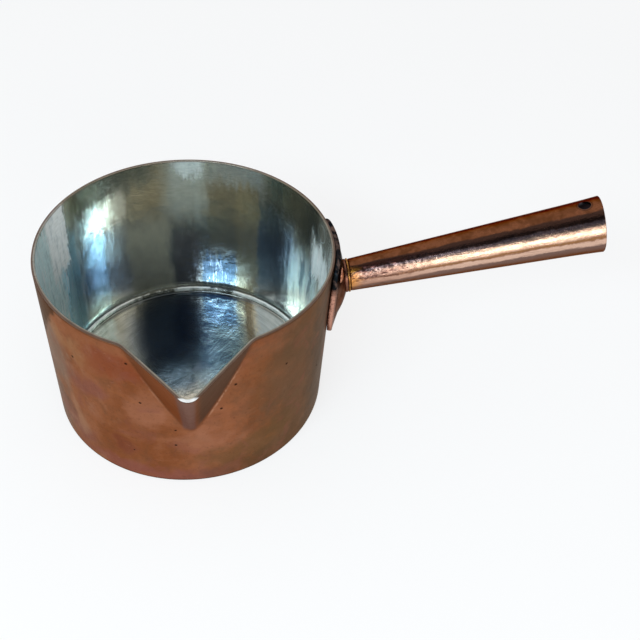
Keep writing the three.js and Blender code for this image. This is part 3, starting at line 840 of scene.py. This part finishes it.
ledge_gap = from_axis + (ends - 0.5) * 0.7
bright_edge = band(ledge_gap, 73.0, 74.2, 0.25) * band(z, 3.0, 6.2, 0.3) * step(sides, 0.36, 0.5)
bright_foot = band(ledge_gap, 75.5, 76.1, 0.2) * band(z, 4.3, 6.6, 0.3)
lip = lining_tin.node("Attribute", {"attribute_name": "lip"}, output="Fac")
inside_map = join(inside_degrees * LINING_DEGREE, z, 0.0)
off_marks = [
    length(vector("SUBTRACT", inside_map, (degrees * LINING_DEGREE, height, 0)))
    for degrees, height in RIVET_MARKS
]
marks = reduce(Wire.__add__, [band(off_mark, 5.0, 5.7, 0.25) for off_mark in off_marks])
tin_color = coats(
    tin_color,
    # the step painted darker on top, with painted highlights along its inner edge and its foot
    (band(z, 4.3, 6.2, 0.3) * 0.9, (64, 70, 66)),
    (bright_edge * 0.95, (250, 252, 248)),
    (bright_foot * 0.7, (226, 230, 224)),
    (step(z, 102.7, 103.1) * 0.9, (124, 114, 100)),
    (step(lip + (sides - 0.5) * 0.5, 0.34, 0.5) * 0.9, (92, 64, 48)),
    # a painted glint on the rim at the spout's nose
    (step(y, -107, -108.5) * step(z, 102.5, 102.9) * 0.9, (255, 255, 253)),
    (marks * 0.5, (226, 240, 240)),
)

wall_lines = cloud(join(inside_degrees * 0.12, z, 0.0), 0.55, 3, rough=0.65)
floor_lines = cloud(join(from_axis, inside_degrees * 0.03, 3.0), 0.8, 3, rough=0.65)
lines = wall_lines + (floor_lines - wall_lines) * on_floor
grey_spots = step(cloud(spot, 3.5, 5, rough=0.7), 0.6, 0.75)
tin_color = coats(
    tin_color,
    (step(lines, 0.4, 0.68) * 0.45, (180, 184, 180)),
    (grey_spots * 0.3, (170, 176, 172)),
    how="MULTIPLY",
)
gloss = 0.05 + (sides + lines) * 0.06 * (1 - on_floor * 0.5) + dull * on_wall * 0.3
relief = lines * 0.09 + streaks * 0.22 + cloud(spot, 10, 3) + cloud(spot, 2.2, 3) * 0.12
dull_sides = step(inside_degrees, -54, -68) + step(inside_degrees, 70, 80)
matt_share = (dull * 0.75).at_least(dull_sides * 0.42) * on_wall + bright_edge * 0.45
tin_finish = metal(
    lining_tin, tin_color, gloss, relief - marks * 0.15, 0.3,
    metallic=0.95 - matt_share, edge=(0.9, 0.92, 0.94, 1),
)

# %% [markdown]
# ## The handle's copper
# The handle is the brightest copper on the pan. The bands round it are painted reflections: a
# long highlight on the side towards the spout, edged lilac above and amber below, a dark line
# above it, peach and pink below, and a back painted darker. The low lamp adds a real
# highlight over them. Near the root the painted highlight is dimmer, a painted glow lies by
# the joint, and there are small hammer marks. The map here is the distance along the handle
# and the turn round it.

# %% Map of the handle
ROOT = np.array([wall_radius(ROOT_HEIGHT), 0, ROOT_HEIGHT])
AXIS = np.array([math.cos(HANDLE_TILT), 0, math.sin(HANDLE_TILT)])
RISE = np.array([-math.sin(HANDLE_TILT), 0, math.cos(HANDLE_TILT)])


def handle_map(bench):
    """Distance along the handle, sideways and up from its axis, and degrees round it, with 0
    facing the spout's side and 90 on top."""
    reach = vector("SUBTRACT", millimetres(bench), tuple(ROOT))
    ways = tuple(AXIS), (0, -1, 0), tuple(RISE)
    along, side, rise = (vector("DOT_PRODUCT", reach, way, output=1) for way in ways)
    return along, side, rise, degrees_of(rise, side)


HANDLE_GROWTH = (HANDLE_END_RADIUS - HANDLE_ROOT_RADIUS) / (HANDLE_LENGTH - NECK_LENGTH)
HANDLE_AT_ZERO = HANDLE_ROOT_RADIUS - HANDLE_GROWTH * NECK_LENGTH
print("handle axis:", AXIS.round(3), "and it widens by", round(HANDLE_GROWTH, 4), "mm for each mm")

# %% Copper of the handle, with painted reflections
arm = new_finish("handle_copper_and_painted_reflections")
spot = millimetres(arm)
along, side, rise, turn = handle_map(arm)
grain_spot = join(along, turn * 0.22, 0.0)
wavy = cloud(grain_spot, 9, 4, stretch=(0.35, 1, 1), rough=0.6)
jag = cloud(grain_spot, 1.8, 3, stretch=(0.5, 1, 1), rough=0.7)
around = turn + (wavy - 0.5) * 16 + (jag - 0.5) * 9
mottle = cloud(spot, 6, 5, rough=0.6, swirl=0.3)
glow_at_root = step(along + wavy * 8, 24, 13)
near_root = step(along, 75, 20)

# Each band paints a reflection round the handle into its colour.
# name, low, high (degrees), softness, tone, strength
BANDS = [
    ("pink underside", -140, 3, 9, (122, 98, 90), 0.95),
    ("peach side", -3, 11, 3, (230, 192, 170), 0.85),
    ("amber line", 11, 18, 3, (156, 112, 74), 0.8),
    ("main highlight", 18, 42, 3, (214, 176, 150), 0.95),
    ("lilac edge", 41, 50, 3, (138, 114, 112), 0.9),
    ("dark reflection line", 49, 71, 3, (60, 42, 36), 0.94),
    ("darkened back", 109, 150, 6, (70, 46, 36), 0.8),
]
skin = coats(
    (94, 56, 34),
    (step(mottle, 0.35, 0.65), (122, 76, 52)),
    (step(mottle, 0.6, 0.75) * 0.5, (80, 38, 24)),
)
for name, low, high, soft, over, strength in BANDS:
    skin = coats(skin, (band(around, low, high, soft) * strength, over))
# Near the root: a dimmer painted highlight, a painted reflection on the peach side, a darker
# painted line, and a painted glow by the joint.
skin = coats(
    skin,
    (near_root * band(turn, 14, 46, 6) * 0.85, (134, 100, 90)),
    (near_root * band(turn, -8, 14, 4) * 0.7, (176, 132, 112)),
    (near_root * band(turn, 48, 68, 4) * 0.7, (44, 20, 16)),
    (glow_at_root * band(turn, -10, 60, 14) * 0.8, (222, 148, 48)),
)
print("bands on the handle:", len(BANDS))

# %% Hammer marks, scratches, and painted shade inside the tube and at the hole
HAMMER_SIZE = 2.6

look = {"Vector": grain_spot, "Scale": 1 / HAMMER_SIZE, "Smoothness": 0.6}
hammer = arm.node("TexVoronoi", {"feature": "SMOOTH_F1"}, look)
scratch = step(cloud(join(along, turn * 0.9, 4.0), 1.4, 4, rough=0.75), 0.66, 0.74)
drawn = step(cloud(join(along * 0.06, turn * 0.24, 9.0), 0.8, 4, rough=0.7), 0.5, 0.66)
flecks = step(jag, 0.5, 0.6) * (near_root * 0.7 + 0.15)
bore = length(join(side, rise, 0.0)) - along * HANDLE_GROWTH
inside = step(bore, HANDLE_AT_ZERO - 0.5, HANDLE_AT_ZERO - 1.5)
hole_side = side * math.cos(HOLE_TURN) + rise * math.sin(HOLE_TURN)
off_hole = length(join(along - (HANDLE_LENGTH - HOLE_FROM_END), hole_side, 0.0))
skin = coats(
    skin,
    (drawn * band(turn, -60, 44, 8) * 0.4, (132, 92, 74)),
    (scratch * 0.35, (236, 204, 186)),
    (flecks * band(turn, 8, 60, 8), (84, 52, 48)),
    # painted shade on the tube's inside
    (inside * 0.95, (34, 34, 40)),
    # a painted dark ring round the hanging hole, and painted shade on its wall
    (band(off_hole, HOLE_RADIUS + 0.4, HOLE_RADIUS + 1.1, 0.3) * 0.6, (52, 34, 28)),
    (step(off_hole, HOLE_RADIUS + 0.3, HOLE_RADIUS + 0.05) * 0.9, (52, 56, 62)),
)
gloss = 0.18 + mottle * 0.16 + near_root * 0.07 + inside * 0.25
relief = hammer * near_root * 0.9 + wavy * 0.7 + jag * 0.28 + mottle * 0.3 - scratch * 0.12
copper_handle = metal(arm, skin, gloss, relief, 0.4, edge=(0.42, 0.27, 0.2, 1))

# %% [markdown]
# ## Base, rivets and brass
# The base was cast or beaten thick. Its finish is greyer towards the bottom, with a painted
# dark reflection on its top and a painted pink highlight along its edge on the spout's side.
# The mesh stores how near the edge each point is, and the finish reads that. The ring where
# the handle was brazed on is brass, and so is the line round the foot.

# %% Copper of the base
foot = new_finish("base_copper")
spot = millimetres(foot)
x, y, z = parts(spot)
edge_nearness = foot.node("Attribute", {"attribute_name": "edge_nearness"}, output="Fac")
mottle = cloud(spot, 5, 5, rough=0.6, swirl=0.4)
fine = cloud(spot, 1.2, 3)
# painted dark reflection on the plate's top, and a painted highlight on its edge towards the spout
dark_top = step(z + mottle * 14, 90, 97) * step(length(join(x, y, 0.0)), 87, 84)
spout_side_edge_highlight = edge_nearness * (1 - dark_top) * step(y, -4, -12)
skin = coats(
    (92, 62, 50),
    (step(mottle, 0.35, 0.65), (136, 92, 74)),
    (step(z + mottle * 8, 74, 58) * 0.4, (96, 82, 72)),
    # painted dark reflection on the top, with a lighter line along its edge
    (dark_top * 0.95, (8, 24, 30)),
    (dark_top * edge_nearness * step(mottle, 0.5, 0.62) * 0.45, (132, 108, 98)),
    # painted pink highlight on the edge towards the spout
    (spout_side_edge_highlight * 0.85, (206, 152, 132)),
    (step(fine, 0.55, 0.7) * 0.45, (52, 38, 34)),
)
gloss = 0.2 + mottle * 0.25 - spout_side_edge_highlight * 0.08
relief = mottle * 0.8 + fine * 0.25
copper_base = metal(foot, skin, gloss, relief, 0.35, edge=(0.4, 0.36, 0.34, 1))

# %% Copper of the rivets and the bottom, and the brass
rivet, brass = new_finish("rivet_copper"), new_finish("old_brass")
mottle = cloud(millimetres(rivet), 1.5, 4)
skin = coats((150, 92, 66), (step(mottle, 0.3, 0.7), (206, 146, 118)))
copper_rivet = metal(rivet, skin, 0.2 + mottle * 0.15, mottle, 0.2)
mottle = cloud(millimetres(brass), 2, 4)
skin = coats((134, 88, 44), (step(mottle, 0.35, 0.65), (180, 132, 72)))
brass_finish = metal(brass, skin, 0.24 + mottle * 0.2, mottle, 0.15)

under = new_finish("bottom_copper")
spot = millimetres(under)
from_middle = length(vector("MULTIPLY", spot, (1, 1, 0)))
mottle = cloud(spot, 16, 5, rough=0.6, swirl=0.5)
scuffs = step(cloud(spot, 3, 5, stretch=(1, 0.35, 1), rough=0.7), 0.55, 0.7)
skin = coats(
    (112, 70, 46),
    (step(mottle, 0.35, 0.65), (140, 88, 60)),
    (scuffs * 0.3, (176, 126, 98)),
    (step(from_middle + mottle * 30, 60, 30) * 0.5, (74, 52, 44)),
)
copper_bottom = metal(under, skin, 0.34 + mottle * 0.2, mottle + scuffs * 0.1, 0.3)

# %% [markdown]
# ## The copper wall
# The wall is a folded sheet in section: up the outer face, over the rim, and down the inner
# face. Its ring of rings closes on itself at the foot, so the sheet is a closed body.

# %% Wall
below_rim = COPPER_TOP - RIM_ROUND - 0.5
rings = bend(wall_ring, 0, FOOT_ROUND, 0, FOOT_ROUND, 5, back=True)
rings += [wall_ring(z, 0) for z in levels(FOOT_ROUND + 1, below_rim)]
rings += bend(wall_ring, COPPER_TOP, -RIM_ROUND, 0, RIM_ROUND, 3)
rings += bend(wall_ring, COPPER_TOP, -RIM_ROUND, WALL, -RIM_ROUND, 3, back=True)
rings += [wall_ring(z, WALL) for z in levels(1, below_rim)[::-1]]
rings.append(wall_ring(0, WALL))
stand_for(loft("wall_sheet", rings, closed=True), "pan_wall", copper_body)

# %% [markdown]
# ## Bottom and seam
# The bottom is a disc whose edge was turned up inside the wall, and a thin line of brass
# fills the groove between them underneath. Each is one profile, swept round the axis.

# %% Turned bodies
TURNED_SIDES, RIVET_SIDES = 160, 64


def turned(name, profile, sides=TURNED_SIDES, closed=False):
    """A body turned about +Z from (radius, height) points. An open profile starts and ends
    on the axis."""
    angles = np.linspace(0, 2 * math.pi, sides, endpoint=False)
    circle = np.stack([np.cos(angles), np.sin(angles)], 1)
    body = profile if closed else profile[1:-1]
    poles = None if closed else [(0, 0, profile[0][1]), (0, 0, profile[-1][1])]
    return loft(name, [level_ring(r * circle, z) for r, z in body], closed, poles)


print("a turned body has", TURNED_SIDES, "sides, and a rivet", RIVET_SIDES)

# %% Bottom and its brass seam
inner_bend = BEND - BOTTOM
profile = [(0, 0), (30, 0), (60, 0)]
profile += [(BOTTOM_RADIUS - BEND + BEND * s, BEND - BEND * c) for s, c in quarter(8)]
profile += [
    (BOTTOM_RADIUS, UPSTAND - UPSTAND_ROUND),
    (BOTTOM_RADIUS - UPSTAND_ROUND, UPSTAND),
    (INNER_RADIUS + UPSTAND_ROUND, UPSTAND),
    (INNER_RADIUS, UPSTAND - UPSTAND_ROUND),
]
profile += [
    (INNER_RADIUS - inner_bend + inner_bend * s, BEND - inner_bend * c)
    for s, c in quarter(8)[::-1]
]
profile += [(40, BOTTOM), (0, BOTTOM)]
stand_for(turned("bottom_disc", profile), "pan_bottom", copper_bottom)

groove = []
for depth in np.linspace(SEAM_DEPTH, SEAM_EDGE, 9):
    below = BEND - depth - FIT_GAP
    groove.append((BOTTOM_RADIUS - BEND + math.sqrt(BEND ** 2 - below ** 2), depth))
profile = [(groove[-1][0], 0), (BOTTOM_RADIUS, 0), (BOTTOM_RADIUS, SEAM_DEPTH), *groove]
seam = turned("seam_brass", profile, closed=True)
stand_for(seam, "bottom_seam_ring", brass_finish)

# %% [markdown]
# ## The tin lining
# Tin covers the inside of the wall, the top of the rim, the step over the bottom's turned-up
# edge, and the floor. Its two faces are lofted as one skin that doubles back at the rim. The
# step is beaten by hand: its edge wanders, which breaks its highlight. The mesh stores which
# rings lie on the rim's outer edge, where the tin is worn through.

# %% Lining, back and lip
BACK, FRONT = WALL + LAP_GAP, WALL + LAP_GAP + TIN
TIN_RADIUS = INNER_RADIUS * math.cos(math.pi / 48) - LAP_GAP
TIN_INNER = TIN_RADIUS - TIN
FLOOR_BACK, FLOOR_FRONT = BOTTOM + LAP_GAP, BOTTOM + LAP_GAP + TIN
round_tin, round_lip = TIN * 0.85, TIN * 0.5

rings = [floor_ring(FLOOR_BACK, radius) for radius in (20, 40, 60)]
rings += bend(floor_ring, FLOOR_BACK, TIN_CORNER, TIN_RADIUS, -TIN_CORNER, 4, back=True)
rings += [floor_ring(LEDGE, TIN_RADIUS), wall_ring(LEDGE, BACK)]
rings += [wall_ring(z, BACK) for z in levels(LEDGE + 0.8, COPPER_TOP - 1)]
rings += [wall_ring(COPPER_TOP + LAP_GAP, inwards) for inwards in (BACK, TIN_LIP)]
rings += bend(wall_ring, HEIGHT, -round_lip, TIN_LIP, round_lip, 3)
lip_start, lip_end = len(rings) - 5, len(rings)
print("rings at the back of the lining:", len(rings))

# %% Lining, inner face, step and floor
LEDGE_TOP, LEDGE_FILLET = LEDGE + TIN, 0.9


def mark_rings(piece, name, values, columns):
    """Stores a number for each ring of a loft, and 0 for its poles, for a finish to read."""
    marks = np.zeros(len(piece.data.vertices), np.float32)
    marks[:len(values) * columns] = np.repeat(values, columns)
    piece.data.attributes.new(name, "FLOAT", "POINT").data.foreach_set("value", marks)


beaten = 0.22 + 0.22 * wander((5, 11, 19, 30, 47), 0.9)
drops = 0.10 * (1 + wander((9, 17, 28, 41), 2.1))

rings += bend(wall_ring, HEIGHT, -round_tin, FRONT, -round_tin, 4, back=True)
rings += [wall_ring(z, FRONT) for z in levels(LEDGE_TOP + LEDGE_FILLET + 0.4, HEIGHT - 1)[::-1]]
# These run from the step up, so the film crosses itself by under a millimetre there.
rings += bend(wall_ring, LEDGE_TOP, LEDGE_FILLET, FRONT, LEDGE_FILLET * 0.6, 4, back=True)
edge = bend(floor_ring, LEDGE_TOP, -round_tin, TIN_INNER - beaten, round_tin, 4, back=True)
rings += [ring + np.outer(drops, (0, 0, 1)) for ring in edge]
rings += [
    floor_ring(FLOOR_FRONT + TIN_CORNER * (1 - c), TIN_INNER - beaten * s - TIN_CORNER * (1 - s))
    for s, c in quarter(5)[::-1]
]
rings += [floor_ring(FLOOR_FRONT, radius) for radius in (68, 60, 50, 40, 30, 20, 10)]
lining = loft("tin_lining_film", rings, poles=[(0, 0, FLOOR_BACK), (0, 0, FLOOR_FRONT)])
on_lip = np.zeros(len(rings))
on_lip[lip_start:lip_end] = 1
mark_rings(lining, "lip", on_lip, len(SPOKES))
stand_for(lining, "tin_lining", tin_finish)

# %% [markdown]
# ## The handle's base
# A trumpet: square to the handle at its neck, and lying along the round wall at its edge.
# Each ring blends two rings with the same points, one round the handle's axis and one bent
# over the wall, and goes from the first to the second as the trumpet opens.

# %% Rings of the base
BASE_COLUMNS = 144
NECK_TOP = NECK_LENGTH - NECK_STRAIGHT


def over_wall(sideways, z, out):
    radius = wall_radius(z)
    turn = sideways / radius
    return np.stack([(radius + out) * np.cos(turn), (radius + out) * np.sin(turn), z], 1)


def round_handle(along, radius, turn, root_lean, end_lean=0.0):
    """A ring round the handle's axis. It leans up as the mitre at the root does, and back as
    the cut at the open end does."""
    side, rise = radius * np.cos(turn), radius * np.sin(turn)
    out = along + rise * math.tan(HANDLE_SLANT) * root_lean + side * math.tan(END_SLANT) * end_lean
    return ROOT + np.outer(out, AXIS) + np.outer(side, (0, 1, 0)) + np.outer(rise, RISE)


def plate_reach(turn):
    above = np.sin(turn) >= 0
    power = np.where(above, TOP_SQUARENESS, BOTTOM_SQUARENESS)
    sideways = np.abs(np.cos(turn)) / PLATE_HALF_WIDTH
    upright = np.abs(np.sin(turn)) / np.where(above, PLATE_ABOVE, PLATE_BELOW)
    return (sideways ** power + upright ** power) ** (-1 / power)


def base_ring(spread, along, bore=NECK_RADIUS, on_wall=None):
    on_wall = min(1, spread * TRUMPET_TURN if on_wall is None else on_wall)
    turn = -np.linspace(0, 2 * math.pi, BASE_COLUMNS, endpoint=False)
    reach = lerp(bore, plate_reach(turn), spread)
    on_neck = round_handle(along, reach, turn, min(1, along / NECK_LENGTH))
    on_plate = over_wall(reach * np.cos(turn), ROOT_HEIGHT + reach * np.sin(turn), along)
    return lerp(on_neck, on_plate, on_wall)


def neck_ring(along, radius):
    return base_ring(0, along, radius)


def trumpet_height(spread):
    return PLATE_EDGE + (NECK_TOP - PLATE_EDGE) * (1 - spread) ** TRUMPET_POWER


print("the trumpet stands", NECK_TOP, "mm off the wall")

# %% Base
SPIGOT_END = NECK_LENGTH + SPIGOT_LENGTH
rings = [
    neck_ring(SPIGOT_END, SPIGOT_BORE),
    neck_ring(SPIGOT_END, SPIGOT_RADIUS - SPIGOT_CHAMFER),
    neck_ring(SPIGOT_END - SPIGOT_CHAMFER, SPIGOT_RADIUS),
    neck_ring(NECK_LENGTH, SPIGOT_RADIUS),
]
rings += bend(neck_ring, NECK_LENGTH, -NECK_ROUND, NECK_RADIUS, -NECK_ROUND, 3, back=True)
rings += [neck_ring(NECK_TOP + 0.3, NECK_RADIUS), neck_ring(NECK_TOP, NECK_RADIUS - 0.1)]
spreads = TRUMPET_SPREAD * (np.arange(1, 25) / 24) ** 1.5
rings += [base_ring(spread, trumpet_height(spread)) for spread in spreads]
first_of_edge, edge_top = len(rings), trumpet_height(TRUMPET_SPREAD)
rings += [
    base_ring(0.955 + 0.045 * s, edge_top - PLATE_EDGE_ROUND * (1 - c)) for s, c in quarter(5)
]
rings += [
    base_ring(0.98 + 0.02 * s, FIT_GAP + PLATE_BACK_ROUND * (1 - c), on_wall=1)
    for s, c in quarter(3)[::-1]
]
last_of_edge = len(rings)
rings += [
    base_ring(0.75, FIT_GAP, on_wall=1),
    base_ring(0.5, FIT_GAP, on_wall=1),
    base_ring(0.1, FIT_GAP + 1.2, NECK_BORE, on_wall=1),
    neck_ring(NECK_LENGTH / 2, NECK_BORE),
    neck_ring(NECK_LENGTH, SPIGOT_BORE),
]
base = loft("handle_base", rings, closed=True)
nearness = np.zeros(len(rings))
nearness[first_of_edge - 2:last_of_edge] = 1
nearness[first_of_edge - 3] = 0.5
nearness[3:7] = 0.6
mark_rings(base, "edge_nearness", nearness, BASE_COLUMNS)
stand_for(base, "handle_flange", copper_base)

# %% [markdown]
# ## The handle's tube
# The handle was rolled from sheet, so it is hollow and open at its end. It is a loft of rings
# that widens along its axis. A drill cuts the hanging hole through both walls: a Boolean
# modifier whose result becomes the mesh.

# %% Tube
TUBE_COLUMNS, TUBE_STATIONS = 144, 90
TUBE_START = NECK_LENGTH + RING_WIDTH + 2 * FIT_GAP


def along_tube(along):
    """0 at the end of the neck and 1 at the open end."""
    return (along - NECK_LENGTH) / (HANDLE_LENGTH - NECK_LENGTH)


def handle_radius(along):
    bell = max(0, 1 - (HANDLE_LENGTH - along) / BELL_LENGTH)
    return lerp(HANDLE_ROOT_RADIUS, HANDLE_END_RADIUS, along_tube(along)) + BELL * bell ** 2


def tube_ring(along, radius):
    turn = np.linspace(0, 2 * math.pi, TUBE_COLUMNS, endpoint=False)
    share = max(0, along_tube(along))
    return round_handle(along, radius, turn, 1 - share, share)


stations = np.linspace(TUBE_START + 1, HANDLE_LENGTH - END_ROUND - 0.3, TUBE_STATIONS)
start_radius, end_radius = handle_radius(TUBE_START), handle_radius(HANDLE_LENGTH)
end_bore = end_radius - HANDLE_WALL
rings = bend(tube_ring, TUBE_START, START_ROUND, start_radius, -START_ROUND, 3, back=True)
rings += [tube_ring(along, handle_radius(along)) for along in stations]
rings += bend(tube_ring, HANDLE_LENGTH, -END_ROUND, end_radius, -END_ROUND, 4)
rings += bend(tube_ring, HANDLE_LENGTH, -END_ROUND, end_bore, END_ROUND, 4, back=True)
rings += [tube_ring(along, handle_radius(along) - HANDLE_WALL) for along in stations[::-1]]
rings.append(tube_ring(TUBE_START, start_radius - HANDLE_WALL))
tube = loft("handle_tube_copper", rings[::-1], closed=True)
print("tube rings:", len(rings))

# %% Hanging hole
DRILL_SIDES, DRILL_LENGTH = 64, 0.06

hole_axis = Vector(math.sin(HOLE_TURN) * np.array([0, 1, 0]) + math.cos(HOLE_TURN) * RISE)
radius = HOLE_RADIUS * 0.001
bit = bmesh.new()
bmesh.ops.create_cone(
    bit, cap_ends=True, segments=DRILL_SIDES, radius1=radius, radius2=radius, depth=DRILL_LENGTH
)
drill = place("drill", bpy.data.meshes.new("drill"))
bit.to_mesh(drill.data)
bit.free()
drill.rotation_euler = hole_axis.to_track_quat("Z", "Y").to_euler()
drill.location = Vector((ROOT + AXIS * (HANDLE_LENGTH - HOLE_FROM_END)) * 0.001)
cut = tube.modifiers.new("hanging_hole", "BOOLEAN")
cut.operation, cut.solver, cut.object = "DIFFERENCE", "EXACT", drill
bpy.context.view_layer.update()
drilled = tube.evaluated_get(bpy.context.evaluated_depsgraph_get())
drilled = bpy.data.meshes.new_from_object(drilled)
tube.modifiers.clear()
tube.data = drilled
smooth(drilled)
bpy.data.objects.remove(drill)
stand_for(tube, "handle_tube", copper_handle)

# %% [markdown]
# ## Brazing ring and rivets
# The ring sits proud of the tube where the smith brazed it to the base. Each rivet goes
# through the plate, the copper and the tin: a domed head outside, and a flush cone inside.

# %% Brazing ring
outer, inner = NECK_RADIUS + RING_PROUD, SPIGOT_RADIUS + FIT_GAP
low, high = NECK_LENGTH + FIT_GAP, NECK_LENGTH + FIT_GAP + RING_WIDTH
rings = [tube_ring(low, inner)]
rings += bend(tube_ring, low, RING_ROUND, outer, -RING_ROUND, 4, back=True)
rings += bend(tube_ring, high, -RING_ROUND, outer, -RING_ROUND, 4)
rings.append(tube_ring(high, inner))
ring = loft("joint_brass", rings[::-1], closed=True)
stand_for(ring, "handle_joint_ring", brass_finish)

# %% Rivets
side = PLATE_HALF_WIDTH - RIVET_FROM_SIDE
upper = ROOT_HEIGHT + PLATE_ABOVE - RIVET_FROM_TOP
lower = ROOT_HEIGHT - lerp(NECK_RADIUS, PLATE_BELOW, LOWER_RIVET_SHARE)
RIVETS = {
    "rivet_upper_front": (-side, upper),
    "rivet_upper_back": (side, upper),
    "rivet_lower": (0, lower),
}
rivet_end, head_seat = -WALL + FIT_GAP, PLATE_EDGE + 0.4 + FIT_GAP
dome = RIVET_RISE - RIVET_RIM
profile = [(0, rivet_end), (RIVET_CONE, rivet_end), (RIVET_SHANK, -LAP_GAP)]
profile += [(RIVET_SHANK, head_seat), (RIVET_HEAD - 0.3, head_seat)]
profile += [(RIVET_HEAD * c, head_seat + RIVET_RIM + dome * s) for s, c in quarter(8)[:-1]]
profile += [(0, head_seat + RIVET_RISE)]
for node, (sideways, height) in RIVETS.items():
    head = turned(node + "_head", profile, RIVET_SIDES)
    radius = wall_radius(height)
    head.data.transform(
        Matrix.Rotation(sideways / radius, 4, "Z")
        @ Matrix.Translation((radius * 0.001, 0, height * 0.001))
        @ Matrix.Rotation(math.pi / 2, 4, "Y")
    )
    stand_for(head, node, copper_rivet)
